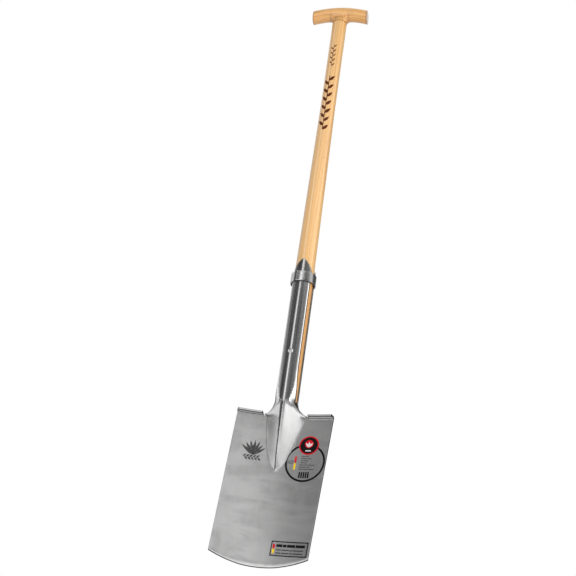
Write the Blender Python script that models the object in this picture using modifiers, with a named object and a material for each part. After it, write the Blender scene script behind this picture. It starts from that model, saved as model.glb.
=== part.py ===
"""Gardener's spade: a forged, strapped blade on a turned wooden shaft with a T grip.

Metres, +Z up along the shaft. While the pieces are built, z = 0 is the height of the treads and the
shaft's axis is the Z axis; -Y is the front, the hollow side of the blade. At the end the whole tool is
moved so that it stands on the middle of its box. A value named s runs down the blade from the treads.
"""
from math import asin, cos, pi, radians, sin, sqrt, tan

import bmesh
import bpy
from mathutils import Matrix, Vector

# Clearances
FIT = 0.0003
HOLE_FIT = 0.0003

# Shaft
SHAFT_TOP_RADIUS = 0.0150
SHAFT_LOW_RADIUS = 0.0190
TAPER_TOP = 0.640
TAPER_LOW = 0.240
SHAFT_FOOT = 0.020
FOOT_ROUNDING = 0.006
SHOULDER_CHAMFER = 0.0006
TENON_RADIUS = 0.0100

# T grip
GRIP_HEIGHT = 0.865
GRIP_WIDTH = 0.114
GRIP_RADIUS = 0.0145
GRIP_DROOP = 0.0085
GRIP_BOSS_REACH = 0.0165
GRIP_BOSS_DEPTH = 0.0240
GRIP_RIM = 0.0030
GRIP_END_CREASE = 0.35
TENON_SINK = 0.0006

# Wedge in the tenon
WEDGE_WIDTH = 0.0140
WEDGE_DEPTH = 0.0240
WEDGE_THICK = 0.0030
WEDGE_THIN = 0.0012

# Blade
SHEET = 0.0030
BLADE_TOP_WIDTH = 0.180
BLADE_EDGE_WIDTH = 0.174
BLADE_SIDE_LENGTH = 0.268
BLADE_CROWN = 0.018
BLADE_DISH = 0.0105
BLADE_TILT = radians(12.5)
BLADE_SET_BACK = 0.0175
EDGE_BEVEL = 0.0060
BEVEL_WALL_SHARE = 0.75
EDGE_WALL_SHARE = 0.22

# Treads
TREAD_DEPTH = 0.0135
TREAD_INNER = 0.0405
TREAD_BEND = 0.0045
TREAD_NOTCH = 0.0012

# Shoulder fillets and ridge tongue
FILLET_RADIUS = 0.0230
NECK_TURN = 1.4
RIDGE_LENGTH = 0.106
RIDGE_HALF_WIDTH = 0.036
RIDGE_FALL = 0.75
RIDGE_FLANK = 1.12
NARROWEST_COLUMN = 0.0006

# Straps
STRAP_TIP = 0.298
STRAP_POINT_LENGTH = 0.028
FRONT_WRAP = radians(52)
REAR_WRAP = radians(78)
TIP_WRAP = radians(2)
POINT_CURVE = 1.85
TONGUE_LENGTH = 0.128
TONGUE_HALF_WIDTH = 0.044

# Ring
RING_HEIGHT = 0.0195
RING_WALL = 0.0018
RING_ROUNDING = 0.0005
RING_SLANT = radians(5)

# Rivet
RIVET_HEIGHT = 0.113
RIVET_SHANK = 0.0030
RIVET_HEAD = 0.0058
RIVET_DOME = 0.0024

# Counts of steps
RIDGE_COLUMNS = 8
SHOULDER_COLUMNS = 3
OUTER_COLUMNS = 4
BLADE_ROWS = 20
BEND_STEPS = 4
FILLET_STEPS = 7
STRAP_ROWS = 12
POINT_ROWS = 7
TURN_STEPS = 48
DOME_STEPS = 5
CROWN_STEPS = 16

MERGE = 0.00001

# Heights that follow
SHAFT_SHOULDER = GRIP_HEIGHT - GRIP_BOSS_DEPTH
STRAP_POINT_START = STRAP_TIP - STRAP_POINT_LENGTH
RING_LOW = STRAP_POINT_START - RING_HEIGHT
CENTRE_COLUMNS = RIDGE_COLUMNS + SHOULDER_COLUMNS


def clear_scene():
    for item in list(bpy.data.objects):
        bpy.data.objects.remove(item, do_unlink=True)


def new_collection(name):
    collection = bpy.data.collections.new(name)
    bpy.context.scene.collection.children.link(collection)
    return collection


def material(name, color, roughness, metallic):
    made = bpy.data.materials.new(name)
    made.use_nodes = True
    shader = made.node_tree.nodes["Principled BSDF"]
    shader.inputs["Base Color"].default_value = (*color, 1.0)
    shader.inputs["Roughness"].default_value = roughness
    shader.inputs["Metallic"].default_value = metallic
    return made


def add_object(name, mesh, collection, surface=None):
    made = bpy.data.objects.new(name, mesh)
    collection.objects.link(made)
    if surface:
        mesh.materials.append(surface)
    return made


def smooth(mesh, angle):
    mesh.shade_smooth()
    mesh.set_sharp_from_angle(angle=angle)


def mesh_from(bm, name):
    mesh = bpy.data.meshes.new(name)
    bm.to_mesh(mesh)
    bm.free()
    smooth(mesh, radians(35))
    return mesh


def ease(value):
    held = min(max(value, 0.0), 1.0)
    return held * held * (3.0 - 2.0 * held)


# Sizes that follow from the driving ones

def shaft_radius(z):
    share = min(max((TAPER_TOP - z) / (TAPER_TOP - TAPER_LOW), 0.0), 1.0)
    return SHAFT_TOP_RADIUS + (SHAFT_LOW_RADIUS - SHAFT_TOP_RADIUS) * share


def strap_inner(z):
    return shaft_radius(z) + FIT


def strap_outer(z):
    return strap_inner(z) + SHEET


def blade_point(x, s, forward):
    """A point s down the blade and so far forward of its back plane."""
    y = BLADE_SET_BACK - s * sin(BLADE_TILT) - forward * cos(BLADE_TILT)
    z = -s * cos(BLADE_TILT) + forward * sin(BLADE_TILT)
    return Vector((x, y, z))


def half_width(s):
    share = s / BLADE_SIDE_LENGTH
    return (BLADE_TOP_WIDTH + (BLADE_EDGE_WIDTH - BLADE_TOP_WIDTH) * share) / 2


def dish(x):
    return BLADE_DISH * (x / (BLADE_TOP_WIDTH / 2)) ** 2


def edge_length(x):
    return BLADE_SIDE_LENGTH + BLADE_CROWN * (1.0 - (x / (BLADE_EDGE_WIDTH / 2)) ** 2)


def ridge_half_width(s):
    return RIDGE_HALF_WIDTH * sqrt(max(1.0 - max(s, 0.0) / RIDGE_LENGTH, 0.0))


def ridge(x, s):
    """Height of the hollow ridge over the blade's back plane.

    It is a gable that dies out down the blade. Above the treads its crest rises straight up the strap.
    """
    side = ridge_half_width(s)
    if abs(x) >= side:
        return 0.0
    rest = 1.0 - max(s, 0.0) / RIDGE_LENGTH
    across = 1.0 - abs(x) / side
    back = BLADE_SET_BACK - min(s, 0.0) * sin(BLADE_TILT)
    crest = (back + strap_inner(0.0)) / cos(BLADE_TILT)
    return crest * rest ** RIDGE_FALL * across ** RIDGE_FLANK


def point_wrap(z, wrap):
    """Half the angle that a strap covers at a height: full, then drawn in to the pointed tip."""
    if z <= STRAP_POINT_START:
        return wrap
    share = (z - STRAP_POINT_START) / (STRAP_TIP - STRAP_POINT_START)
    return TIP_WRAP + (wrap - TIP_WRAP) * max(1.0 - share ** POINT_CURVE, 0.0)


def strap_heights(first):
    straight = [first + (STRAP_POINT_START - first) * i / STRAP_ROWS for i in range(1, STRAP_ROWS + 1)]
    reach = STRAP_TIP - STRAP_POINT_START
    turns = [pi / 2 * i / POINT_ROWS for i in range(1, POINT_ROWS + 1)]
    return straight + [STRAP_POINT_START + reach * sin(turn) for turn in turns]


# Sheet work: rows of vertices, joined by faces

def add_row(bm, points):
    return [bm.verts.new(point) for point in points]


def join_rows(bm, upper, lower):
    for a, b, c, d in zip(upper, lower, lower[1:], upper[1:]):
        bm.faces.new((a, b, c, d))


def sheet_object(bm, name, collection, surface, offset, wall_group=None):
    """Half a sheet, mirrored over x = 0 and given its wall."""
    made = add_object(name, mesh_from(bm, name), collection, surface)
    mirror = made.modifiers.new("both_halves", "MIRROR")
    mirror.merge_threshold = MERGE
    wall = made.modifiers.new("wall", "SOLIDIFY")
    wall.thickness = SHEET
    wall.offset = offset
    wall.use_even_offset = True
    if wall_group:
        made.vertex_groups.new(name=wall_group)
        wall.vertex_group = wall_group
    return made


def fillet_turns(root_half_width, crease, edge):
    """Turns of a shoulder fillet's rows, and how far their columns have drifted.

    The first row is the fillet's start, the second lies just where its outline crosses the crease.
    """
    first = asin((root_half_width - crease) / (root_half_width - edge))
    drifts = [step / FILLET_STEPS for step in range(FILLET_STEPS + 1)]
    return [(0.0, 0.0)] + [(first + (pi / 2 - first) * drift, drift) for drift in drifts]


def neck_rows(wrap, shares, root_half_width, side, start, crease, plane_point):
    """Points of a strap's flared root, from a height s = start on the blade upwards.

    At the blade they follow plane_point(x, s), with a crease at x = crease. Higher up they turn into the
    strap's arc. The outline of the sides is the concave shoulder fillet. The shares say where the columns
    stand, from 0 in the middle to 1 at the side. The columns rise straight, end at the outline, and drift
    to their places round the shaft.
    """
    edge = strap_inner(0.0) * sin(wrap)
    foot = SHAFT_FOOT + FOOT_ROUNDING / 2
    rows = []
    for turn, drift in fillet_turns(root_half_width, crease, edge):
        rise = FILLET_RADIUS * (1.0 - cos(turn))
        reach = edge + (root_half_width - edge) * (1.0 - sin(turn))
        blend = ease((rise / FILLET_RADIUS) ** NECK_TURN)
        row = []
        for t in shares:
            straight = min(root_half_width * t, reach)
            x = straight + (reach * sin(wrap * t) / sin(wrap) - straight) * drift
            flat = plane_point(x, start - rise)
            round_y = side * strap_inner(0.0) * cos(wrap * t)
            round_z = foot + rise - FILLET_RADIUS
            row.append(Vector((x, flat.y + (round_y - flat.y) * blend, flat.z + (round_z - flat.z) * blend)))
        rows.append(row)
    return rows


def strap_rows(wrap, shares, side):
    """Points of a strap above its root: arcs round the shaft, drawn in to a point."""
    rows = []
    for z in strap_heights(SHAFT_FOOT + FOOT_ROUNDING / 2):
        angle = point_wrap(z, wrap)
        radius = strap_inner(z)
        turns = [angle * share for share in shares]
        rows.append([Vector((radius * sin(turn), side * radius * cos(turn), z)) for turn in turns])
    return rows


# Blade, with treads and front strap

def blade_columns(s):
    """Where a row of the blade has its vertices, from the middle to the side."""
    foot = max(ridge_half_width(s), RIDGE_COLUMNS * NARROWEST_COLUMN)
    lip = TREAD_INNER + TREAD_NOTCH
    marks = [(0.0, foot, RIDGE_COLUMNS), (foot, TREAD_INNER, SHOULDER_COLUMNS),
             (TREAD_INNER, lip, 1), (lip, half_width(s), OUTER_COLUMNS)]
    places = [0.0]
    for start, end, count in marks:
        places += [start + (end - start) * column / count for column in range(1, count + 1)]
    return places


def blade_rows():
    rows = []
    for row in range(BLADE_ROWS + 2):
        share = min(row / BLADE_ROWS, 1.0)
        points = []
        for index, x_top in enumerate(blade_columns(TREAD_BEND)):
            end = edge_length(x_top) - (EDGE_BEVEL if row <= BLADE_ROWS else 0.0)
            s = TREAD_BEND + share * (end - TREAD_BEND)
            x = blade_columns(s)[index]
            points.append(blade_point(x, s, dish(x) + ridge(x, s)))
        rows.append(points)
    return rows


def tread_rows():
    """The blade's top folded square to the blade: the bend, then the lip, just clear of the neck."""
    rows = []
    columns = blade_columns(TREAD_BEND)[CENTRE_COLUMNS + 1:]
    for step in range(1, BEND_STEPS + 1):
        turn = pi / 2 * step / BEND_STEPS
        s = TREAD_BEND * (1.0 - sin(turn))
        forward = TREAD_BEND * (1.0 - cos(turn))
        rows.append([blade_point(x, s, dish(x) + forward) for x in columns])
    rows.append([blade_point(x, 0.0, dish(x) + TREAD_DEPTH) for x in columns])
    return rows


def make_blade(collection, surface):
    bm = bmesh.new()
    wall_share = bm.verts.layers.deform.verify()
    rows = [add_row(bm, points) for points in blade_rows()]
    for upper, lower in zip(rows, rows[1:]):
        join_rows(bm, upper, lower)
    below = rows[0][CENTRE_COLUMNS + 1:]
    for points in tread_rows():
        above = add_row(bm, points)
        join_rows(bm, above, below)
        below = above
    below = rows[0][:CENTRE_COLUMNS + 1]
    shares = [x / TREAD_INNER for x in blade_columns(TREAD_BEND)[:CENTRE_COLUMNS + 1]]
    root = neck_rows(FRONT_WRAP, shares, TREAD_INNER, -1, 0.0, min(RIDGE_HALF_WIDTH, TREAD_INNER),
                     lambda x, s: blade_point(x, s, dish(x) + ridge(x, s)))
    for points in root + strap_rows(FRONT_WRAP, shares, -1):
        above = add_row(bm, points)
        join_rows(bm, above, below)
        below = above
    for vert in bm.verts:
        vert[wall_share][0] = 1.0
    for index, row in enumerate(rows):
        share = 1.0 - (1.0 - BEVEL_WALL_SHARE) * min(index / BLADE_ROWS, 1.0)
        for vert in row:
            vert[wall_share][0] = share if index <= BLADE_ROWS else EDGE_WALL_SHARE
    bmesh.ops.remove_doubles(bm, verts=bm.verts, dist=MERGE)
    return sheet_object(bm, "blade", collection, surface, 1.0, "wall_share")


# Rear strap, with the tongue on the blade's back

def tongue_half_width(s):
    return TONGUE_HALF_WIDTH * sqrt(max(1.0 - s / TONGUE_LENGTH, 0.0))


def tongue_rows():
    """Rows on the blade's back, from just below the treads to the round end."""
    rows = []
    last = TONGUE_LENGTH - TREAD_BEND
    for row in range(BLADE_ROWS // 2):
        s = TREAD_BEND + last * sin(pi / 2 * row / (BLADE_ROWS // 2))
        reach = tongue_half_width(s)
        points = []
        for column in range(CENTRE_COLUMNS + 1):
            x = reach * column / CENTRE_COLUMNS
            points.append(blade_point(x, s, dish(x) - FIT))
        rows.append(points)
    return rows


def make_rear_strap(collection, surface):
    bm = bmesh.new()
    rows = [add_row(bm, points) for points in tongue_rows()]
    for upper, lower in zip(rows, rows[1:]):
        join_rows(bm, upper, lower)
    below = rows[0]
    shares = [column / CENTRE_COLUMNS for column in range(CENTRE_COLUMNS + 1)]
    root_half_width = tongue_half_width(TREAD_BEND)
    root = neck_rows(REAR_WRAP, shares, root_half_width, 1, TREAD_BEND, root_half_width,
                     lambda x, s: blade_point(x, s, dish(x) - FIT))
    for points in root + strap_rows(REAR_WRAP, shares, 1):
        above = add_row(bm, points)
        join_rows(bm, above, below)
        below = above
    bmesh.ops.remove_doubles(bm, verts=bm.verts, dist=MERGE)
    return sheet_object(bm, "rear_strap", collection, surface, -1.0)


# Turned pieces

def turned_object(name, outline, collection, surface, closed=False):
    """An outline of (radius, height) points, down its outer side, turned round Z."""
    mesh = bpy.data.meshes.new(name)
    bm = bmesh.new()
    verts = [bm.verts.new((radius, 0.0, z)) for radius, z in outline]
    pairs = list(zip(verts, verts[1:]))
    if closed:
        pairs.append((verts[-1], verts[0]))
    for a, b in pairs:
        bm.edges.new((a, b))
    bm.to_mesh(mesh)
    bm.free()
    made = add_object(name, mesh, collection, surface)
    screw = made.modifiers.new("turn", "SCREW")
    screw.steps = TURN_STEPS
    screw.render_steps = TURN_STEPS
    screw.use_merge_vertices = True
    screw.merge_threshold = MERGE
    screw.use_smooth_shade = True
    return made


def settled_mesh(made):
    """The object's mesh with its modifiers done, welded, in place of the live object."""
    bpy.context.view_layer.update()
    evaluated = made.evaluated_get(bpy.context.evaluated_depsgraph_get())
    mesh = bpy.data.meshes.new_from_object(evaluated)
    bm = bmesh.new()
    bm.from_mesh(mesh)
    bmesh.ops.remove_doubles(bm, verts=bm.verts, dist=MERGE)
    bm.to_mesh(mesh)
    bm.free()
    return mesh


def settled_object(made, collection):
    mesh = settled_mesh(made)
    name, place = made.name, made.matrix_world.copy()
    bpy.data.objects.remove(made, do_unlink=True)
    smooth(mesh, radians(35))
    settled = bpy.data.objects.new(name, mesh)
    collection.objects.link(settled)
    settled.matrix_world = place
    return settled


def cut(target, cutter):
    cutter.hide_render = True
    cutter.display_type = "WIRE"
    boolean = target.modifiers.new("cut_" + cutter.name, "BOOLEAN")
    boolean.operation = "DIFFERENCE"
    boolean.solver = "EXACT"
    boolean.object = cutter


def arc(centre, radius, start, end, steps):
    turns = [start + (end - start) * i / steps for i in range(steps + 1)]
    return [(centre[0] + radius * cos(turn), centre[1] + radius * sin(turn)) for turn in turns]


def make_shaft(collection, surface):
    top = GRIP_HEIGHT + GRIP_RADIUS
    foot_centre = (SHAFT_LOW_RADIUS - FOOT_ROUNDING, SHAFT_FOOT + FOOT_ROUNDING)
    outline = [
        (0.0, top),
        (TENON_RADIUS, top),
        (TENON_RADIUS, SHAFT_SHOULDER),
        (SHAFT_TOP_RADIUS - SHOULDER_CHAMFER, SHAFT_SHOULDER),
        (SHAFT_TOP_RADIUS, SHAFT_SHOULDER - SHOULDER_CHAMFER),
        (SHAFT_TOP_RADIUS, TAPER_TOP),
        (SHAFT_LOW_RADIUS, TAPER_LOW),
    ]
    outline += arc(foot_centre, FOOT_ROUNDING, 0.0, -pi / 2, DOME_STEPS)
    outline.append((0.0, SHAFT_FOOT))
    return turned_object("shaft", outline, collection, surface)


def make_ring(collection, surface):
    top = RING_LOW + RING_HEIGHT
    inner_top = strap_outer(top) + FIT
    inner_low = strap_outer(RING_LOW) + FIT
    outline = [
        (inner_top + RING_WALL - RING_ROUNDING, top),
        (inner_top + RING_WALL, top - RING_ROUNDING),
        (inner_low + RING_WALL, RING_LOW + RING_ROUNDING),
        (inner_low + RING_WALL - RING_ROUNDING, RING_LOW),
        (inner_low, RING_LOW),
        (inner_top, top),
    ]
    ring = turned_object("retaining_ring", outline, collection, surface, closed=True)
    ring = settled_object(ring, collection)
    slant = Matrix.Identity(4)
    slant[2][1] = -tan(RING_SLANT)
    ring.data.transform(slant)
    return ring


def dome(seat, sense):
    """Outline points of a rivet head, from its middle to its rim."""
    ball = (RIVET_HEAD ** 2 + RIVET_DOME ** 2) / (2 * RIVET_DOME)
    points = []
    for step in range(DOME_STEPS + 1):
        radius = RIVET_HEAD * step / DOME_STEPS
        height = sqrt(ball ** 2 - radius ** 2) - (ball - RIVET_DOME)
        points.append((radius, sense * (seat + height)))
    return points


def make_rivet(collection, surface):
    seat = strap_outer(RIVET_HEIGHT) + FIT
    outline = dome(seat, 1)
    outline += [(RIVET_SHANK, seat), (RIVET_SHANK, -seat)]
    outline += list(reversed(dome(seat, -1)))
    rivet = turned_object("strap_rivet", outline, collection, surface)
    rivet.rotation_euler = (pi / 2, 0.0, 0.0)
    rivet.location = (0.0, 0.0, RIVET_HEIGHT)
    return rivet


def rivet_hole_cutter(cutters):
    bm = bmesh.new()
    radius = RIVET_SHANK + HOLE_FIT
    bmesh.ops.create_cone(bm, cap_ends=True, segments=TURN_STEPS // 2, radius1=radius, radius2=radius,
                          depth=4 * strap_outer(RIVET_HEIGHT))
    made = add_object("rivet_hole", mesh_from(bm, "rivet_hole"), cutters)
    made.rotation_euler = (pi / 2, 0.0, 0.0)
    made.location = (0.0, 0.0, RIVET_HEIGHT)
    return made


# Grip

def cage_radius(radius):
    """The cage that eight-sided subdivision draws in to this radius."""
    return radius * 6.0 / (4.0 + 2.0 * cos(pi / 4))


def grip_section(bm, x):
    centre_z = GRIP_HEIGHT - GRIP_DROOP * (2 * x / GRIP_WIDTH) ** 2
    radius = cage_radius(GRIP_RADIUS)
    turns = [pi / 4 * side for side in range(8)]
    return [bm.verts.new((x, radius * sin(turn), centre_z - radius * cos(turn))) for turn in turns]


def join_rings(bm, first, second):
    count = len(first)
    return [bm.faces.new((first[i], second[i], second[(i + 1) % count], first[(i + 1) % count]))
            for i in range(count)]


def cap(bm, ring, centre, flip):
    """Quads from an eight-sided ring to a middle vertex."""
    middle = bm.verts.new(centre)
    for i in range(0, 8, 2):
        corners = (middle, ring[i], ring[(i + 1) % 8], ring[(i + 2) % 8])
        bm.faces.new(reversed(corners) if flip else corners)


def grip_cage():
    """A coarse T: eight-sided sections along the bar and an eight-sided boss drawn down from its middle."""
    half = GRIP_WIDTH / 2
    reach = GRIP_BOSS_REACH
    places = [-half, GRIP_RIM - half, -(half + reach) / 2, -reach, 0.0,
              reach, (half + reach) / 2, half - GRIP_RIM, half]
    bm = bmesh.new()
    rings = [grip_section(bm, x) for x in places]
    underside = []
    for first, second in zip(rings, rings[1:]):
        faces = join_rings(bm, first, second)
        if abs(first[0].co.x) <= reach + MERGE and abs(second[0].co.x) <= reach + MERGE:
            underside += [faces[0], faces[7]]
    end_drop = GRIP_HEIGHT - GRIP_DROOP
    cap(bm, rings[0], (-half, 0.0, end_drop), False)
    cap(bm, rings[-1], (half, 0.0, end_drop), True)
    boss = bmesh.ops.extrude_face_region(bm, geom=underside)
    bmesh.ops.delete(bm, geom=underside, context="FACES_ONLY")
    radius = cage_radius(SHAFT_TOP_RADIUS)
    for vert in (item for item in boss["geom"] if isinstance(item, bmesh.types.BMVert)):
        flat = Vector((vert.co.x, vert.co.y, 0.0))
        around = flat.normalized() * radius if flat.length > MERGE else flat
        if abs(flat.x) > MERGE and abs(flat.y) > MERGE:
            around = Vector((radius * cos(pi / 4) * (1 if flat.x > 0 else -1),
                             radius * cos(pi / 4) * (1 if flat.y > 0 else -1), 0.0))
        vert.co = around + Vector((0.0, 0.0, SHAFT_SHOULDER + FIT))
    bm.edges.layers.float.new("crease_edge")
    foot = SHAFT_SHOULDER + FIT
    crease_rim(bm, lambda vert: abs(vert.co.z - foot) < MERGE, 1.0)
    crease_rim(bm, lambda vert: abs(abs(vert.co.x) - half) < MERGE, GRIP_END_CREASE)
    bmesh.ops.recalc_face_normals(bm, faces=bm.faces)
    return bm


def crease_rim(bm, is_flush, amount):
    """Creases the edges between a flat end, whose vertices are all flush, and the faces around it."""
    crease = bm.edges.layers.float["crease_edge"]
    for edge in bm.edges:
        flat = [all(is_flush(vert) for vert in face.verts) for face in edge.link_faces]
        if flat.count(True) == 1:
            edge[crease] = amount


def make_grip(collection, surface):
    made = add_object("t_grip", mesh_from(grip_cage(), "t_grip"), collection, surface)
    subsurf = made.modifiers.new("round", "SUBSURF")
    subsurf.levels = 2
    subsurf.render_levels = 2
    return made


def mortise_cutter(cutters):
    bm = bmesh.new()
    radius = TENON_RADIUS + HOLE_FIT
    bmesh.ops.create_cone(bm, cap_ends=True, segments=TURN_STEPS, radius1=radius, radius2=radius,
                          depth=GRIP_WIDTH)
    made = add_object("mortise", mesh_from(bm, "mortise"), cutters)
    made.location = (0.0, 0.0, GRIP_HEIGHT)
    return made


def crown_cutter(cutters):
    """Everything above the grip's round top, which trims tenon and wedge flush with it."""
    radius = GRIP_RADIUS - TENON_SINK
    outline = arc((0.0, GRIP_HEIGHT), radius, radians(20), radians(160), CROWN_STEPS)
    outline += [(-GRIP_WIDTH / 4, outline[-1][1]), (-GRIP_WIDTH / 4, GRIP_HEIGHT + 2 * GRIP_RADIUS),
                (GRIP_WIDTH / 4, GRIP_HEIGHT + 2 * GRIP_RADIUS), (GRIP_WIDTH / 4, outline[0][1])]
    curve = bpy.data.curves.new("above_grip", "CURVE")
    curve.dimensions = "2D"
    curve.fill_mode = "BOTH"
    curve.extrude = GRIP_WIDTH / 4
    spline = curve.splines.new("POLY")
    spline.points.add(len(outline) - 1)
    for point, (across, up) in zip(spline.points, outline):
        point.co = (across, up, 0.0, 1.0)
    spline.use_cyclic_u = True
    made = bpy.data.objects.new("above_grip", curve)
    cutters.objects.link(made)
    made.matrix_world = Matrix(((0, 0, 1, 0), (1, 0, 0, 0), (0, 1, 0, 0), (0, 0, 0, 1)))
    return settled_object(made, cutters)


# Wedge

def wedge_mesh(name, clearance):
    """A tapered slip, thin end down, its flat sides facing along the grip."""
    top = GRIP_HEIGHT + GRIP_RADIUS
    bm = bmesh.new()
    bmesh.ops.create_cube(bm, size=1.0)
    for vert in bm.verts:
        thickness = WEDGE_THICK if vert.co.z > 0 else WEDGE_THIN
        vert.co.x *= thickness + 2 * clearance
        vert.co.y *= WEDGE_WIDTH + 2 * clearance
        vert.co.z = top if vert.co.z > 0 else top - WEDGE_DEPTH - clearance
    return mesh_from(bm, name)


def make_wedge(collection, surface):
    return add_object("grip_wedge", wedge_mesh("grip_wedge", 0.0), collection, surface)


def slot_cutter(cutters):
    return add_object("wedge_slot", wedge_mesh("wedge_slot", FIT), cutters)


def stand_on_origin(pieces):
    """Moves the tool so that the middle of its box's base is the origin."""
    bpy.context.view_layer.update()
    graph = bpy.context.evaluated_depsgraph_get()
    corners = []
    for piece in pieces:
        evaluated = piece.evaluated_get(graph)
        corners += [evaluated.matrix_world @ vert.co for vert in evaluated.to_mesh().vertices]
        evaluated.to_mesh_clear()
    low = Vector([min(corner[axis] for corner in corners) for axis in range(3)])
    high = Vector([max(corner[axis] for corner in corners) for axis in range(3)])
    shift = Matrix.Translation((-(low.x + high.x) / 2, -(low.y + high.y) / 2, -low.z))
    for item in bpy.data.objects:
        item.matrix_world = shift @ item.matrix_world
    print("moved by", [round(value, 6) for value in shift.translation])


def main():
    clear_scene()
    spade = new_collection("spade")
    cutters = new_collection("cutters")
    stainless = material("stainless_blade", (0.48, 0.48, 0.48), 0.38, 1.0)
    polished = material("polished_steel", (0.60, 0.60, 0.60), 0.20, 1.0)
    ash = material("lacquered_ash", (0.80, 0.52, 0.25), 0.42, 0.0)
    beech = material("wedge_wood", (0.45, 0.24, 0.11), 0.55, 0.0)

    blade = make_blade(spade, stainless)
    rear_strap = make_rear_strap(spade, polished)
    ring = make_ring(spade, polished)
    shaft = make_shaft(spade, ash)
    grip = make_grip(spade, ash)
    rivet = make_rivet(spade, polished)
    wedge = make_wedge(spade, beech)

    rivet_hole = rivet_hole_cutter(cutters)
    for riveted in (blade, rear_strap, shaft):
        cut(riveted, rivet_hole)
    cut(grip, mortise_cutter(cutters))
    above_grip = crown_cutter(cutters)
    cut(shaft, slot_cutter(cutters))
    cut(shaft, above_grip)
    cut(wedge, above_grip)
    stand_on_origin([blade, rear_strap, ring, shaft, grip, rivet, wedge])


main()
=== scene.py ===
"""Looks for the strapped garden spade: its steel, its ash wood, its labels, the studio and the camera.

Metres, +Z up the shaft, -Y the hollow front of the blade. Pieces are drawn with z = 0 at the treads
and the shaft's axis on Z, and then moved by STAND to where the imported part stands.
"""
from math import asin, ceil, cos, exp, pi, radians, sin, sqrt, tan

import bmesh
import bpy
from mathutils import Matrix, Vector


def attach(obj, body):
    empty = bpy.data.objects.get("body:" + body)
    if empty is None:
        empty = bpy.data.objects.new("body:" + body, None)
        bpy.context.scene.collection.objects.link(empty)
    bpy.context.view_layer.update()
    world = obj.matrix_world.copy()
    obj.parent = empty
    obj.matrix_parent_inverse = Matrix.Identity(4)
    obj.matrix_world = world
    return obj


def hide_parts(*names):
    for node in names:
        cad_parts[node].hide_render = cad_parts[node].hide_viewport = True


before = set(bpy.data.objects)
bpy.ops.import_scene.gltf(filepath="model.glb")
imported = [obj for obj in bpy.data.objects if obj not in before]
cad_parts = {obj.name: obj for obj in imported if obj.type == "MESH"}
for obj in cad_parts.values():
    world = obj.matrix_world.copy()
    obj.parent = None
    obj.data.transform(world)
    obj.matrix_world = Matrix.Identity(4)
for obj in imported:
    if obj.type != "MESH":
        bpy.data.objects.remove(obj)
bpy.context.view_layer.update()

STAND = Vector((0.0, 0.012842, 0.279221))
MERGE = 0.00001

# Shaft
SHAFT_TOP_RADIUS = 0.0150
SHAFT_LOW_RADIUS = 0.0190
TAPER_TOP = 0.640
TAPER_LOW = 0.240
SHAFT_FOOT = 0.020
FOOT_ROUNDING = 0.006
TENON_RADIUS = 0.0100
FIT = 0.0003
SHOULDER_CHAMFER = 0.0006
TENON_ROOT = 0.002

# T grip
GRIP_HEIGHT = 0.865
GRIP_WIDTH = 0.114
GRIP_RADIUS = 0.0145
GRIP_DROOP = 0.0085
GRIP_BOSS_REACH = 0.0165
GRIP_BOSS_DEPTH = 0.0240
GRIP_RIM = 0.0030
GRIP_PARE = 0.00003
GRIP_END_CREASE = 0.35
TENON_SINK = 0.0006
SHAFT_SHOULDER = GRIP_HEIGHT - GRIP_BOSS_DEPTH

# Wedge in the tenon
WEDGE_WIDTH = 0.0140
WEDGE_DEPTH = 0.0240
WEDGE_THICK = 0.0030
WEDGE_THIN = 0.0012

# Blade
SHEET = 0.0030
BLADE_TOP_WIDTH = 0.180
BLADE_EDGE_WIDTH = 0.174
BLADE_SIDE_LENGTH = 0.268
BLADE_CROWN = 0.018
BLADE_DISH = 0.0105
BLADE_TILT = radians(12.5)
BLADE_SET_BACK = 0.0175
EDGE_ROUND = 0.0004
NARROWEST_ROUNDED = 1.6 * EDGE_ROUND
SHARP_FROM = radians(50)
BEVEL_WALL_SHARE = 0.56
EDGE_WALL_SHARE = 0.22
TREAD_DEPTH = 0.0135
TREAD_INNER = 0.0405
TREAD_BEND = 0.0045
FILLET_RADIUS = 0.0230
NECK_TURN = 1.4
RIDGE_LENGTH = 0.106
RIDGE_HALF_WIDTH = 0.036
RIDGE_FALL = 0.75
CREST_ROUND = 0.0010
RIDGE_SKIRT = 0.07
TREAD_NOTCH = 0.0012
GROUND_EDGE_MIDDLE = 0.0034
GROUND_EDGE_CORNER = 0.0046
TREAD_END_TRIM = 0.0034

# Straps
STRAP_TIP = 0.298
STRAP_POINT_LENGTH = 0.028
STRAP_POINT_START = STRAP_TIP - STRAP_POINT_LENGTH
FRONT_WRAP = radians(52)
FRONT_WRAP_LOW = radians(67)
WIDENING_TOP = 0.095
WIDENING_CURVE = 1.5
REAR_WRAP = radians(78)
TIP_WRAP = radians(2)
POINT_CURVE = 1.85
TONGUE_LENGTH = 0.128
TONGUE_HALF_WIDTH = 0.044
GROUND_SHARE = 0.84
GROUND_WALL = 0.80
STRAP_LOW = SHAFT_FOOT + FOOT_ROUNDING / 2
FACET_TURN = radians(50)
FACET_TOP = 0.085
FACET_START_TOP = radians(50)
FACET_START_LOW = radians(23)
FACET_CURVE = 2.0
KEEL_HEIGHT = 0.00025
KEEL_HALF_WIDTH = 0.0016

# Ring and rivet
RING_HEIGHT = 0.0195
RING_LOW = STRAP_POINT_START - RING_HEIGHT
RING_WALL = 0.0018
RING_RIM = 0.0008
RING_SLANT = radians(5)
RIVET_HEIGHT = 0.113
RIVET_SHANK = 0.0030
RIVET_HEAD = 0.0046
RIVET_DOME = 0.0024

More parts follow.
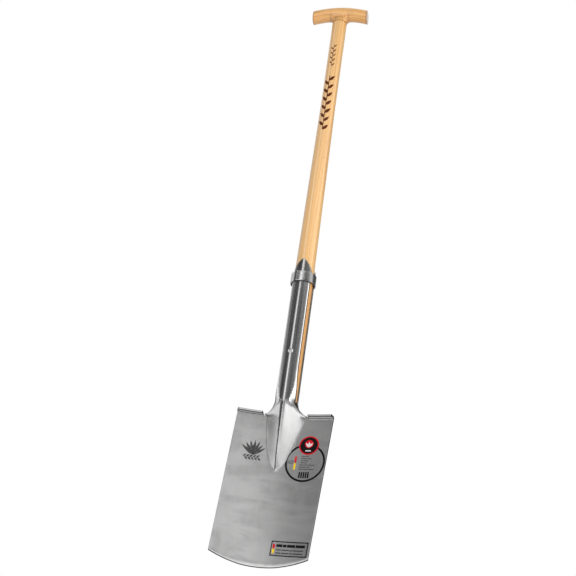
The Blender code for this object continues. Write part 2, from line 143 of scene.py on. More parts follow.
# How the finish and the painted light and shade change on the blade and its strap: shares of a width or a
# rise, and turns
RIDGE_POLISHED = 0.30
# Painted dark reflection on the rims
BLADE_RIM = 0.62
BLADE_SIDE_RIM = 0.78
# Painted shade on the treads: on the lip's top, and in rows of the fold and of the lip
TREAD_TOP_SHADE = 0.45
FOLD_DARK_ROWS = range(2, 7)
LIP_DARK_ROWS = (3, 4)
STRAP_RIM_FROM = 0.93
STRAP_RIM_SOFTNESS = 0.07
# Painted shade on the strap root's flanges
FLANGE_FROM = 0.45
FLANGE_SOFTNESS = 0.45
FLANGE_RISE = 0.2
FLANGE_START = 0.4
GROUND_SOFTNESS = 0.06
FACET_SOFTNESS = radians(2)
LINE_FADE = 0.8
LINE_FADE_FROM = radians(1)
LINE_FADE_SOFTNESS = radians(4)

# Counts of steps in the finished pieces
RIDGE_COLUMNS = 18
SHOULDER_COLUMNS = 6
OUTER_COLUMNS = 16
CENTRE_COLUMNS = RIDGE_COLUMNS + SHOULDER_COLUMNS
BLADE_ROWS = 72
BEND_STEPS = 8
LIP_STEPS = 5
FILLET_STEPS = 20
EDGE_ROWS = 2
STRAP_ROWS = 40
POINT_ROWS = 16
GROUND_COLUMNS = 5
NARROWEST_COLUMN = 0.0003
COLUMN_SPREAD = 0.14
COLUMN_SPREAD_FROM = 0.85 * RIDGE_LENGTH
RIDGE_CROWDING = 1.35
STRAP_CROWDING = 1.25
TURN_STEPS = 96
SHAFT_RINGS = 408
TENON_RINGS = 8
RING_SIDES = 128
RIM_STEPS = 4
BAND_STEPS = 8
RIVET_SIDES = 48
DOME_STEPS = 12
WEDGE_CUTS = 9
GRIP_SIDES = 8
GRIP_ROUNDINGS = 4


def between(first, second, share):
    """The value a share of the way from the first to the second."""
    return first + (second - first) * share


def share_of(value, start, end):
    """How far a value has come from a start, 0, to an end, 1."""
    return min(max((value - start) / (end - start), 0.0), 1.0)


def circle(radius, steps):
    turns = [2 * pi * i / steps for i in range(steps)]
    return [(radius * cos(turn), radius * sin(turn)) for turn in turns]


def ease(value):
    """A soft step from 0 to 1."""
    held = min(max(value, 0.0), 1.0)
    return held * held * (3.0 - 2.0 * held)


# The part's own shapes

def shaft_radius(z):
    return between(SHAFT_TOP_RADIUS, SHAFT_LOW_RADIUS, share_of(z, TAPER_TOP, TAPER_LOW))


def strap_inner(z):
    return shaft_radius(z) + FIT


def strap_outer(z):
    return strap_inner(z) + SHEET


def blade_point(x, s, forward):
    """A point s down the blade and so far forward of its back plane."""
    y = BLADE_SET_BACK - s * sin(BLADE_TILT) - forward * cos(BLADE_TILT)
    z = -s * cos(BLADE_TILT) + forward * sin(BLADE_TILT)
    return Vector((x, y, z))


def half_width(s):
    """Half the blade's width, s down from the treads."""
    return between(BLADE_TOP_WIDTH, BLADE_EDGE_WIDTH, s / BLADE_SIDE_LENGTH) / 2


def dish(x):
    return BLADE_DISH * (x / (BLADE_TOP_WIDTH / 2)) ** 2


def edge_length(x):
    return BLADE_SIDE_LENGTH + BLADE_CROWN * (1.0 - (x / (BLADE_EDGE_WIDTH / 2)) ** 2)


def ground_edge(out):
    """Length of the sharpened bottom edge, at a share of the way out from the middle."""
    return between(GROUND_EDGE_MIDDLE, GROUND_EDGE_CORNER, out ** 2)


def ridge_half_width(s):
    return RIDGE_HALF_WIDTH * sqrt(max(1.0 - max(s, 0.0) / RIDGE_LENGTH, 0.0))


def ridge_share(x, s):
    """How far a point stands from the ridge's foot, 0, to its softly rounded crest, 1."""
    side = ridge_half_width(s)
    if abs(x) >= side:
        return 0.0
    soft = sqrt(x * x + CREST_ROUND ** 2) - CREST_ROUND
    return max(1.0 - soft / side, 0.0)


def soft_foot(share):
    return sqrt(share ** 2 + RIDGE_SKIRT ** 2) - RIDGE_SKIRT


def ridge(x, s):
    """Height of the hollow ridge over the blade's back plane.

    It is a gable with a soft foot. Above the treads its crest rises straight up the strap.
    """
    share = ridge_share(x, s)
    rest = 1.0 - max(s, 0.0) / RIDGE_LENGTH
    if share <= 0.0 or rest <= 0.0:
        return 0.0
    lifted = soft_foot(share) / soft_foot(1.0)
    back = BLADE_SET_BACK - min(s, 0.0) * sin(BLADE_TILT)
    crest = (back + strap_inner(0.0)) / cos(BLADE_TILT)
    return crest * rest ** RIDGE_FALL * lifted


def point_wrap(z, wrap):
    """A strap's wrap round the shaft, which closes to its point at the tip."""
    if z <= STRAP_POINT_START:
        return wrap
    share = (z - STRAP_POINT_START) / (STRAP_TIP - STRAP_POINT_START)
    return between(TIP_WRAP, wrap, max(1.0 - share ** POINT_CURVE, 0.0))


def front_wrap(z):
    """The front strap reaches further round the shaft towards its foot."""
    return between(FRONT_WRAP, FRONT_WRAP_LOW, share_of(z, WIDENING_TOP, STRAP_LOW) ** WIDENING_CURVE)


def rear_wrap(z):
    """The rear strap's wrap, the same all the way up to its point."""
    return REAR_WRAP


def keel(turn, radius):
    """The faint crest that the ridge draws up the middle of the front strap."""
    return KEEL_HEIGHT * exp(-(radius * turn / KEEL_HALF_WIDTH) ** 2)


def blade_columns(s):
    """Places of the blade's columns, out from its middle: the ridge's follow its narrowing foot."""
    past = max(s - COLUMN_SPREAD_FROM, 0.0)
    narrow = ridge_half_width(s)
    spread = RIDGE_COLUMNS * NARROWEST_COLUMN + COLUMN_SPREAD * past
    foot = sqrt(narrow ** 2 + spread ** 2)
    bands = [
        (0.0, foot, RIDGE_COLUMNS, RIDGE_CROWDING),
        (foot, TREAD_INNER, SHOULDER_COLUMNS, 1.0),
        (TREAD_INNER, TREAD_INNER + TREAD_NOTCH, 1, 1.0),
        (TREAD_INNER + TREAD_NOTCH, half_width(s), OUTER_COLUMNS, 1.0),
    ]
    places = [0.0]
    for start, end, count, crowding in bands:
        places += [between(start, end, (column / count) ** crowding) for column in range(1, count + 1)]
    return places


def strap_heights():
    run = STRAP_POINT_START - STRAP_LOW
    reach = STRAP_TIP - STRAP_POINT_START
    straight = [STRAP_LOW + run * i / STRAP_ROWS for i in range(1, STRAP_ROWS + 1)]
    point = [STRAP_POINT_START + reach * sin(pi / 2 * i / POINT_ROWS) for i in range(1, POINT_ROWS + 1)]
    return straight + point


def fillet_turns(root_half_width, crease, edge):
    """Turns of a shoulder fillet's rows, and how far their columns have drifted.

    The first row is the fillet's start, the second lies just where its outline crosses the crease.
    """
    first = asin((root_half_width - crease) / (root_half_width - edge))
    drifts = [step / FILLET_STEPS for step in range(FILLET_STEPS + 1)]
    return [(0.0, 0.0)] + [(between(first, pi / 2, drift), drift) for drift in drifts]


def neck_rows(wrap, low_shares, shares, root_half_width, side, start, crease, plane_point):
    """A strap's flared root: from the blade's plane it turns into the arc round the shaft.

    The columns rise straight from their low shares, end at the fillet's outline, and drift to their
    shares of the strap's arc.
    """
    edge = strap_inner(0.0) * sin(wrap)
    rows = []
    for turn, drift in fillet_turns(root_half_width, crease, edge):
        rise = FILLET_RADIUS * (1.0 - cos(turn))
        reach = between(edge, root_half_width, 1.0 - sin(turn))
        blend = ease((rise / FILLET_RADIUS) ** NECK_TURN)
        row = []
        for t_low, t in zip(low_shares, shares):
            straight = min(root_half_width * t_low, reach)
            x = between(straight, reach * sin(wrap * t) / sin(wrap), drift)
            flat = plane_point(x, start - rise)
            round_y = side * strap_inner(0.0) * cos(wrap * between(t_low, t, drift))
            round_z = STRAP_LOW + rise - FILLET_RADIUS
            row.append(Vector((x, between(flat.y, round_y, blend), between(flat.z, round_z, blend))))
        rows.append(row)
    return rows


def strap_rows(wrap, shares, side):
    """The strap along the shaft, in front at side -1 and behind at side 1."""
    rows = []
    for z in strap_heights():
        angle = point_wrap(z, wrap(z))
        radius = strap_inner(z)
        rows.append([Vector((radius * sin(angle * t), side * radius * cos(angle * t), z)) for t in shares])
    return rows


# Mesh tools

def piece_from_mesh(mesh, name, surface, body="root"):
    """A finished mesh, moved to where the part stands, as a piece that rides on a body."""
    mesh.name = name
    mesh.transform(Matrix.Translation(STAND))
    if surface and surface.name not in mesh.materials:
        mesh.materials.append(surface)
    made = bpy.data.objects.new(name, mesh)
    bpy.context.scene.collection.objects.link(made)
    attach(made, body)
    return made


def settled(made):
    """The object's mesh with its modifiers done; the object itself goes."""
    bpy.context.view_layer.update()
    evaluated = made.evaluated_get(bpy.context.evaluated_depsgraph_get())
    mesh = bpy.data.meshes.new_from_object(evaluated)
    bpy.data.objects.remove(made, do_unlink=True)
    return mesh


def carved(made, others):
    """The object's mesh with others joined to it or cut out of it; all these objects go."""
    for other, operation in others:
        step = made.modifiers.new(other.name, "BOOLEAN")
        step.operation = operation
        step.solver = "EXACT"
        step.object = other
    mesh = settled(made)
    for other, operation in others:
        bpy.data.objects.remove(other, do_unlink=True)
    soften(mesh, 35)
    return mesh


def mesh_of(bm, name):
    mesh = bpy.data.meshes.new(name)
    bm.to_mesh(mesh)
    bm.free()
    return mesh


def draft(mesh, name):
    made = bpy.data.objects.new(name, mesh)
    bpy.context.scene.collection.objects.link(made)
    return made


def add_row(bm, points):
    return [bm.verts.new(point) for point in points]


def join_rows(bm, upper, lower):
    for a, b, c, d in zip(upper, lower, lower[1:], upper[1:]):
        bm.faces.new((a, b, c, d))


def raise_rows(bm, below, rows):
    """Rows of points stitched one after another onto the row below. Gives the new rows."""
    made = []
    for points in rows:
        above = add_row(bm, points)
        join_rows(bm, above, below)
        made.append(above)
        below = above
    return made


def soften(mesh, angle):
    """Smooth shading, with sharp edges where faces meet at more than so many degrees."""
    mesh.shade_smooth()
    mesh.set_sharp_from_angle(angle=radians(angle))


def mark_sharp_rims(mesh):
    """Bevel weights for the sharp edges whose faces are wide enough to be rounded."""
    bm = bmesh.new()
    bm.from_mesh(mesh)
    weight = bm.edges.layers.float.new("bevel_weight_edge")
    for edge in bm.edges:
        if len(edge.link_faces) == 2 and edge.calc_face_angle() > SHARP_FROM:
            narrowest = min(face.calc_area() for face in edge.link_faces) / edge.calc_length()
            edge[weight] = 1.0 if narrowest > NARROWEST_ROUNDED else 0.0
    bm.to_mesh(mesh)
    bm.free()


def walled(bm, name, offset):
    """Half a sheet, mirrored over x = 0, given its wall and its softened edges."""
    mesh = mesh_of(bm, name)
    mesh.shade_smooth()
    made = draft(mesh, name)
    made.vertex_groups.new(name="wall_share")
    mirror = made.modifiers.new("both_halves", "MIRROR")
    mirror.merge_threshold = MERGE
    wall = made.modifiers.new("wall", "SOLIDIFY")
    wall.thickness = SHEET
    wall.offset = offset
    wall.use_even_offset = True
    wall.vertex_group = "wall_share"
    mesh = settled(made)
    mark_sharp_rims(mesh)
    made = draft(mesh, name)
    edges = made.modifiers.new("edges", "BEVEL")
    edges.width = EDGE_ROUND
    edges.segments = 3
    edges.limit_method = "WEIGHT"
    edges.use_clamp_overlap = False
    mesh = settled(made)
    soften(mesh, 40)
    return mesh


# Blade, with treads and front strap

def blade_rows():
    """The blade from under the treads down to its sharpened edge."""
    rows = []
    low = blade_columns(BLADE_SIDE_LENGTH)
    for row in range(BLADE_ROWS + EDGE_ROWS + 1):
        share = min(row / BLADE_ROWS, 1.0)
        past = max(row - BLADE_ROWS, 0) / EDGE_ROWS
        points = []
        for index in range(len(low)):
            end = edge_length(low[index]) - ground_edge(low[index] / low[-1]) * (1.0 - past)
            s = between(TREAD_BEND, end, share)
            x = blade_columns(s)[index]
            points.append(blade_point(x, s, dish(x) + ridge(x, s)))
        rows.append(points)
    return rows


def tread_rows():
    """The blade's top folded square to the blade: the bend, then the lip."""
    rows = []
    columns = blade_columns(TREAD_BEND)[CENTRE_COLUMNS + 1:]
    for step in range(1, BEND_STEPS + 1):
        turn = pi / 2 * step / BEND_STEPS
        s = TREAD_BEND * (1.0 - sin(turn))
        forward = TREAD_BEND * (1.0 - cos(turn))
        rows.append([blade_point(x, s, dish(x) + forward) for x in columns])
    for step in range(1, LIP_STEPS + 1):
        forward = TREAD_BEND + (TREAD_DEPTH - TREAD_BEND) * step / LIP_STEPS
        trim = TREAD_END_TRIM * (step / LIP_STEPS) / (columns[-1] - columns[0])
        drawn_in = [x - trim * (x - columns[0]) for x in columns]
        rows.append([blade_point(x, 0.0, dish(x) + forward) for x in drawn_in])
    return rows


def ground_share(t):
    """The strap's wall thins over a ground bevel along its sides."""
    return 1.0 - (1.0 - GROUND_WALL) * max(t - GROUND_SHARE, 0.0) / (1.0 - GROUND_SHARE)


def facet_start(z):
    """Where the flat facet beside the front strap's arc begins; it widens down towards the neck."""
    return between(FACET_START_TOP, FACET_START_LOW, share_of(z, FACET_TOP, STRAP_LOW) ** FACET_CURVE)


def facet_share(turn, z):
    """The share of the strap's wall that the facet leaves at a turn round the shaft."""
    start = facet_start(z)
    if turn < start:
        return 1.0
    flat = strap_outer(z) * cos(FACET_TURN - start) / cos(turn - FACET_TURN)
    return min((flat - strap_inner(z)) / SHEET, 1.0)


def finish_sheet(rows, wall_share, marks):
    """Wall and finish of the blade's sheet: its polished ridge, its ground edge, partly painted highlight,
    and painted dark reflection on its rims.
    """
    for index, row in enumerate(rows):
        share = 1.0 - (1.0 - BEVEL_WALL_SHARE) * min(index / BLADE_ROWS, 1.0)
        past = max(index - BLADE_ROWS, 0) / EDGE_ROWS
        for vert in row:
            vert[wall_share][0] = between(share, EDGE_WALL_SHARE, past)
            # Ground edge: brighter ground steel, partly painted highlight
            vert[marks["ground"]] = min(2.0 * past, 1.0)
            s = (BLADE_SET_BACK - vert.co.y) * sin(BLADE_TILT) - vert.co.z * cos(BLADE_TILT)
            vert[marks["polish"]] = ease(ridge_share(vert.co.x, s) / RIDGE_POLISHED)
            # Painted dark reflection on the rims
            vert[marks["rim"]] = 1.0 if past == 1.0 else BLADE_RIM * 2.0 * past
        row[-1][marks["rim"]] = BLADE_SIDE_RIM if past < 1.0 else 1.0


def finish_treads(lips, marks):
    """Painted shade in dark rows along each tread's fold and lip and on its dark ends, and a painted
    highlight on its bright front edge.
    """
    for number, row in enumerate(lips):
        step = number - BEND_STEPS + 1
        # Painted shade along the fold and the lip
        dark = 1.0 if number in FOLD_DARK_ROWS or step in LIP_DARK_ROWS else 0.0
        for vert in row:
            vert[marks["shade"]] = TREAD_TOP_SHADE if step == LIP_STEPS else dark
            vert[marks["ground"]] = 1.0 if step == LIP_STEPS else 0.0
        row[0][marks["rim"]] = 1.0
        row[-1][marks["rim"]] = 1.0


def finish_strap(row, shares, height, risen, wall_share, marks):
    """Wall and finish across the strap at a height: its faint keel, its ground sides and facets, partly
    painted highlight, and its rims, painted dark reflection.
    """
    for t, vert in zip(shares, row):
        turn = t * front_wrap(height)
        left = min(ground_share(t), facet_share(turn, height))
        share = 1.0 + (left - 1.0) * ease(risen)
        share += keel(turn, strap_inner(height)) / SHEET * ease(risen)
        vert[wall_share][0] = min(share, 1.0)
        vert[marks["polish"]] = 1.0
        vert[marks["burnish_and_dark_reflection"]] = 1.0
        # Painted dark reflection on the strap's rims
        past = t - STRAP_RIM_FROM + STRAP_RIM_SOFTNESS
        vert[marks["rim"]] = ease(past / STRAP_RIM_SOFTNESS)
        # Ground sides and facet edges: brighter ground steel, partly painted highlight
        line = ease((turn / FRONT_WRAP - GROUND_SHARE + GROUND_SOFTNESS) / GROUND_SOFTNESS)
        line = max(line, ease((turn - facet_start(height)) / FACET_SOFTNESS))
        line *= 1.0 - LINE_FADE * ease((turn - FRONT_WRAP - LINE_FADE_FROM) / LINE_FADE_SOFTNESS)
        vert[marks["ground"]] = line * ease(2.5 * risen - 1.2)


def finish_root(row, points, risen, marks):
    """Finish of the strap's flared root, so far risen from the blade to the strap, with painted shade on its
    flanges and painted dark reflection on its rims.
    """
    for point, vert in zip(points, row):
        out = point.x / points[-1].x
        vert[marks["burnish_and_dark_reflection"]] = ease(2.0 * risen - 0.9)
        past = out - STRAP_RIM_FROM + STRAP_RIM_SOFTNESS * ease(risen)
        vert[marks["rim"]] = ease(past / STRAP_RIM_SOFTNESS)
        # Painted shade on the flanges
        flange = ease((out - FLANGE_FROM) / FLANGE_SOFTNESS)
        vert[marks["flange"]] = flange * ease(risen / FLANGE_RISE + FLANGE_START)


def make_blade():
    """The blade's sheet, its folded treads and the front strap, with the finishes and the painted light and
    shade that its steel reads.
    """
    bm = bmesh.new()
    wall_share = bm.verts.layers.deform.verify()
    # Of these marks, ground is partly painted highlight; rim, shade and flange are painted shade and dark
    # reflection; the strap's mark is partly painted dark reflection
    names = ("polish", "ground", "burnish_and_dark_reflection", "rim", "shade", "flange")
    marks = {name: bm.verts.layers.float.new(name) for name in names}
    rows = [add_row(bm, points) for points in blade_rows()]
    for upper, lower in zip(rows, rows[1:]):
        join_rows(bm, upper, lower)
    lips = raise_rows(bm, rows[0][CENTRE_COLUMNS + 1:], tread_rows())
    for vert in bm.verts:
        vert[wall_share][0] = 1.0
    finish_sheet(rows, wall_share, marks)
    finish_treads(lips, marks)
    places = [x / TREAD_INNER for x in blade_columns(TREAD_BEND)[:CENTRE_COLUMNS + 1]]
    shares = strap_places()
    root = neck_rows(FRONT_WRAP_LOW, places, shares, TREAD_INNER, -1, 0.0, RIDGE_HALF_WIDTH,
                     lambda x, s: blade_point(x, s, dish(x) + ridge(x, s)))
    strap = root + strap_rows(front_wrap, shares, -1)
    drawn = raise_rows(bm, rows[0][:CENTRE_COLUMNS + 1], strap)
    for number, (row, points) in enumerate(zip(drawn, strap)):
        risen = number / len(root)
        height = STRAP_LOW if risen < 1.0 else points[0].z
        finish_strap(row, shares, height, risen, wall_share, marks)
        if risen < 1.0:
            finish_root(row, points, risen, marks)
    bmesh.ops.remove_doubles(bm, verts=bm.verts, dist=MERGE)
    return walled(bm, "spade_blade", 1.0)


def strap_places():
    """Column shares across the strap: close at the crest and at the ground sides."""
    inner = CENTRE_COLUMNS - GROUND_COLUMNS
    places = [GROUND_SHARE * (i / inner) ** STRAP_CROWDING for i in range(inner + 1)]
    side = 1.0 - GROUND_SHARE
    return places + [GROUND_SHARE + side * i / GROUND_COLUMNS for i in range(1, GROUND_COLUMNS + 1)]


# Rear strap, with the tongue on the blade's back

def tongue_half_width(s):
    return TONGUE_HALF_WIDTH * sqrt(max(1.0 - s / TONGUE_LENGTH, 0.0))


def make_rear_strap():
    """The second strap, from the tongue on the blade's back up to its point behind the shaft."""
    bm = bmesh.new()
    wall_share = bm.verts.layers.deform.verify()
    shares = strap_places()
    last = TONGUE_LENGTH - TREAD_BEND
    count = BLADE_ROWS // 2
    rows = []
    for row in range(count):
        s = TREAD_BEND + last * sin(pi / 2 * row / count)
        reach = tongue_half_width(s)
        rows.append([blade_point(reach * t, s, dish(reach * t) - FIT) for t in shares])
    drawn = [add_row(bm, points) for points in rows]
    for upper, lower in zip(drawn, drawn[1:]):
        join_rows(bm, upper, lower)
    root_half_width = tongue_half_width(TREAD_BEND)
    root = neck_rows(REAR_WRAP, shares, shares, root_half_width, 1, TREAD_BEND, root_half_width,
                     lambda x, s: blade_point(x, s, dish(x) - FIT))
    drawn += raise_rows(bm, drawn[0], root + strap_rows(rear_wrap, shares, 1))
    for row in drawn:
        for t, vert in zip(shares, row):
            vert[wall_share][0] = ground_share(t)
    bmesh.ops.remove_doubles(bm, verts=bm.verts, dist=MERGE)
    return walled(bm, "rear_strap_forged", -1.0)


# Turned pieces

def turned(name, outline, steps, closed=False):
    """An outline of radii and heights turned round the Z axis."""
    bm = bmesh.new()
    verts = [bm.verts.new((radius, 0.0, z)) for radius, z in outline]
    pairs = list(zip(verts, verts[1:]))
    if closed:
        pairs.append((verts[-1], verts[0]))
    for a, b in pairs:
        bm.edges.new((a, b))
    made = draft(mesh_of(bm, name), name)
    screw = made.modifiers.new("turn", "SCREW")
    screw.steps = steps
    screw.render_steps = steps
    screw.use_merge_vertices = True
    screw.merge_threshold = MERGE
    screw.use_smooth_shade = True
    mesh = settled(made)
    bm = bmesh.new()
    bm.from_mesh(mesh)
    bmesh.ops.remove_doubles(bm, verts=bm.verts, dist=MERGE)
    bmesh.ops.recalc_face_normals(bm, faces=bm.faces)
    bm.to_mesh(mesh)
    bm.free()
    return mesh


def make_ring():
    """The driven band that holds both straps to the shaft, its rims rounded."""
    top = RING_LOW + RING_HEIGHT
    inner_top = strap_outer(top) + FIT
    inner_low = strap_outer(RING_LOW) + FIT
    outer_top = inner_top + RING_WALL
    outer_low = inner_low + RING_WALL
    turns = [pi / 2 * step / RIM_STEPS for step in range(RIM_STEPS + 1)]
    outline = [(outer_top - RING_RIM * (1.0 - sin(turn)), top - RING_RIM * (1.0 - cos(turn)))
               for turn in turns]
    for step in range(1, BAND_STEPS):
        share = step / BAND_STEPS
        height = top - RING_RIM - (RING_HEIGHT - 2 * RING_RIM) * share
        outline.append((between(outer_top, outer_low, share), height))
    outline += [(outer_low - RING_RIM * (1.0 - cos(turn)), RING_LOW + RING_RIM * (1.0 - sin(turn)))
                for turn in turns]
    outline += [(inner_low, RING_LOW), (inner_top, top)]
    mesh = turned("ring", outline, RING_SIDES, closed=True)
    slant = Matrix.Identity(4)
    slant[2][1] = -tan(RING_SLANT)
    mesh.transform(slant)
    soften(mesh, 45)
    return mesh


def make_rivet():
    """A rivet through both straps, its heads domed."""
    seat = strap_outer(RIVET_HEIGHT) + FIT
    ball = (RIVET_HEAD ** 2 + RIVET_DOME ** 2) / (2 * RIVET_DOME)
    head = []
    for step in range(DOME_STEPS + 1):
        radius = RIVET_HEAD * step / DOME_STEPS
        head.append((radius, seat + sqrt(ball ** 2 - radius ** 2) - (ball - RIVET_DOME)))
    outline = head + [(RIVET_SHANK, seat), (RIVET_SHANK, -seat)]
    outline += [(radius, -height) for radius, height in reversed(head)]
    mesh = turned("rivet", outline, RIVET_SIDES)
    mesh.transform(Matrix.Translation((0.0, 0.0, RIVET_HEIGHT)) @ Matrix.Rotation(pi / 2, 4, "X"))
    soften(mesh, 40)
    return mesh


def crown(y):
    """Height of the tenon's and the wedge's planed tops, just under the grip's own curve."""
    return GRIP_HEIGHT + sqrt((GRIP_RADIUS - TENON_SINK) ** 2 - y * y)


def slip(bm, clearance, top):
    """The wedge's body, or its slot when there is a clearance."""
    bmesh.ops.create_cube(bm, size=1.0)
    for vert in bm.verts:
        thickness = WEDGE_THICK if vert.co.z > 0 else WEDGE_THIN
        vert.co.x *= thickness + 2 * clearance
        vert.co.y *= WEDGE_WIDTH + 2 * clearance
        vert.co.z = top if vert.co.z > 0 else GRIP_HEIGHT + GRIP_RADIUS - WEDGE_DEPTH - clearance


def make_wedge():
    """The hardwood slip that spreads the tenon, planed off flush with the grip."""
    bm = bmesh.new()
    slip(bm, 0.0, GRIP_HEIGHT)
    bmesh.ops.subdivide_edges(bm, edges=bm.edges, cuts=WEDGE_CUTS, use_grid_fill=True)
    for vert in bm.verts:
        if vert.co.z > GRIP_HEIGHT - MERGE:
            vert.co.z = crown(vert.co.y)
    mesh = mesh_of(bm, "wedge")
    soften(mesh, 30)
    return mesh


# Geometry Nodes

def geometry_tree(name, sizes):
    """An empty tree with one named input for each size, and its places to plug in."""
    tree = bpy.data.node_groups.new(name, "GeometryNodeTree")
    keys = {}
    for label, kind in sizes:
        socket = tree.interface.new_socket(label, in_out="INPUT", socket_type="NodeSocket" + kind)
        keys[label] = socket.identifier
    tree.interface.new_socket("Geometry", in_out="OUTPUT", socket_type="NodeSocketGeometry")
    start = tree.nodes.new("NodeGroupInput")
    end = tree.nodes.new("NodeGroupOutput")
    return tree, start.outputs, end.inputs["Geometry"], keys


def plug(tree, socket, value):
    """Links a socket to another one, or sets its value."""
    if isinstance(value, bpy.types.NodeSocket):
        tree.links.new(value, socket)
    else:
        socket.default_value = value


def place(tree, kind, values=None, **settings):
    """A node with its settings made, and its inputs set to a value or linked to a socket."""
    made = tree.nodes.new(kind)
    for key, value in settings.items():
        setattr(made, key, value)
    for key, value in (values or {}).items():
        plug(tree, made.inputs[key], value)
    return made


def close_tree(tree, geometry, surface, end):
    """Ends a tree in real meshes with their material."""
    real = place(tree, "GeometryNodeRealizeInstances", {"Geometry": geometry})
    dressed = place(tree, "GeometryNodeSetMaterial", {"Geometry": real.outputs[0], "Material": surface})
    tree.links.new(dressed.outputs[0], end)


def grown(name, tree, keys, values):
    """The mesh that a tree makes from these sizes."""
    made = draft(bpy.data.meshes.new(name), name)
    modifier = made.modifiers.new(name, "NODES")
    modifier.node_group = tree
    for label, value in values.items():
        modifier[keys[label]] = value
    return settled(made)


def maths(tree, operation, *values):
    made = tree.nodes.new("ShaderNodeMath")
    made.operation = operation
    for socket, value in zip(made.inputs, values):
        plug(tree, socket, value)
    return made.outputs[0]


def tapered_shaft_tree(surface):
    """A tapered round bar: rings whose radius follows the taper and the rounded foot."""
    sizes = [("Rings", "Int"), ("Sides", "Int"), ("Foot", "Float"), ("Shoulder", "Float"),
             ("Top radius", "Float"), ("Low radius", "Float"), ("Taper top", "Float"), ("Taper low", "Float"),
             ("Foot rounding", "Float"), ("Chamfer", "Float")]
    tree, size, end, keys = geometry_tree("tapered_shaft", sizes)
    bar = place(tree, "GeometryNodeMeshCylinder", {
        "Vertices": size["Sides"], "Side Segments": size["Rings"], "Fill Segments": 4,
        "Radius": 1.0, "Depth": 1.0})
    spot = place(tree, "GeometryNodeInputPosition")
    parts = place(tree, "ShaderNodeSeparateXYZ", {"Vector": spot.outputs[0]})
    share = maths(tree, "ADD", parts.outputs["Z"], 0.5)
    length = maths(tree, "SUBTRACT", size["Shoulder"], size["Foot"])
    height = maths(tree, "MULTIPLY_ADD", share, length, size["Foot"])
    taper = place(tree, "ShaderNodeMapRange", {
        "Value": height, "From Min": size["Taper low"], "From Max": size["Taper top"],
        "To Min": size["Low radius"], "To Max": size["Top radius"]})
    above_foot = maths(tree, "SUBTRACT", height, size["Foot"])
    left = maths(tree, "SUBTRACT", size["Foot rounding"], above_foot)
    held = maths(tree, "MAXIMUM", left, 0.0)
    square = maths(tree, "MULTIPLY", held, held)
    full = maths(tree, "MULTIPLY", size["Foot rounding"], size["Foot rounding"])
    kept = maths(tree, "SQRT", maths(tree, "MAXIMUM", maths(tree, "SUBTRACT", full, square), 0.0))
    drawn_in = maths(tree, "SUBTRACT", size["Foot rounding"], kept)
    below_top = maths(tree, "SUBTRACT", size["Shoulder"], height)
    trim = maths(tree, "MAXIMUM", maths(tree, "SUBTRACT", size["Chamfer"], below_top), 0.0)
    radius = maths(tree, "SUBTRACT", maths(tree, "SUBTRACT", taper.outputs["Result"], drawn_in), trim)
    moved = place(tree, "ShaderNodeCombineXYZ", {
        "X": maths(tree, "MULTIPLY", parts.outputs["X"], radius),
        "Y": maths(tree, "MULTIPLY", parts.outputs["Y"], radius),
        "Z": height})
    shaped = place(tree, "GeometryNodeSetPosition", {
        "Geometry": bar.outputs["Mesh"], "Position": moved.outputs[0]})
    close_tree(tree, shaped.outputs[0], surface, end)
    return tree, keys


def make_shaft(surface):
    """The long tapered shaft, then its tenon, domed with the grip and slotted for the wedge."""
    tree, keys = tapered_shaft_tree(surface)
    mesh = grown("shaft", tree, keys, {
        "Rings": SHAFT_RINGS, "Sides": TURN_STEPS, "Foot": SHAFT_FOOT, "Shoulder": SHAFT_SHOULDER,
        "Top radius": SHAFT_TOP_RADIUS, "Low radius": SHAFT_LOW_RADIUS, "Taper top": TAPER_TOP,
        "Taper low": TAPER_LOW, "Foot rounding": FOOT_ROUNDING, "Chamfer": SHOULDER_CHAMFER})
    made = draft(mesh, "shaft_draft")
    tenon = draft(tenon_mesh(), "tenon")
    bm = bmesh.new()
    slip(bm, FIT, GRIP_HEIGHT + 2 * GRIP_RADIUS)
    slot = draft(mesh_of(bm, "slot"), "slot")
    return carved(made, ((tenon, "UNION"), (slot, "DIFFERENCE")))


def tenon_mesh():
    """The tenon as rings from its foot in the shaft to its top, which is domed with the grip."""
    bm = bmesh.new()
    foot = SHAFT_SHOULDER - TENON_ROOT
    rings = [add_row(bm, [(x, y, foot) for x, y in circle(TENON_RADIUS, TURN_STEPS)])]
    for number in range(TENON_RINGS, 0, -1):
        spots = circle(TENON_RADIUS * number / TENON_RINGS, TURN_STEPS)
        rings.append(add_row(bm, [(x, y, crown(y)) for x, y in spots]))
    for first, second in zip(rings, rings[1:]):
        join_rings(bm, first, second)
    bm.faces.new(rings[0])
    bm.faces.new(rings[-1])
    bmesh.ops.recalc_face_normals(bm, faces=bm.faces)
    return mesh_of(bm, "tenon")


# Grip

def cage_radius(radius):
    """The eight-sided cage's radius that Subdivision Surface rounds down to this one."""
    return radius * 6.0 / (4.0 + 2.0 * cos(pi / 4))


def grip_section(bm, x):
    centre_z = GRIP_HEIGHT - GRIP_DROOP * (2 * x / GRIP_WIDTH) ** 2
    radius = cage_radius(GRIP_RADIUS - GRIP_PARE)
    return add_row(bm, [(x, out, centre_z - down) for down, out in circle(radius, GRIP_SIDES)])


def join_rings(bm, first, second):
    """The band of faces between two closed rings."""
    count = len(first)
    return [bm.faces.new((first[i], second[i], second[(i + 1) % count], first[(i + 1) % count]))
            for i in range(count)]


def cap(bm, ring, centre, flip):
    """The grip's flat end, in four-sided faces round its middle."""
    middle = bm.verts.new(centre)
    for i in range(0, GRIP_SIDES, 2):
        corners = (middle, ring[i], ring[(i + 1) % GRIP_SIDES], ring[(i + 2) % GRIP_SIDES])
        bm.faces.new(reversed(corners) if flip else corners)


def crease_rim(bm, is_flush, amount):
    """Creases the edges that bound the flush faces."""
    crease = bm.edges.layers.float["crease_edge"]
    for edge in bm.edges:
        flat = [all(is_flush(vert) for vert in face.verts) for face in edge.link_faces]
        if flat.count(True) == 1:
            edge[crease] = amount


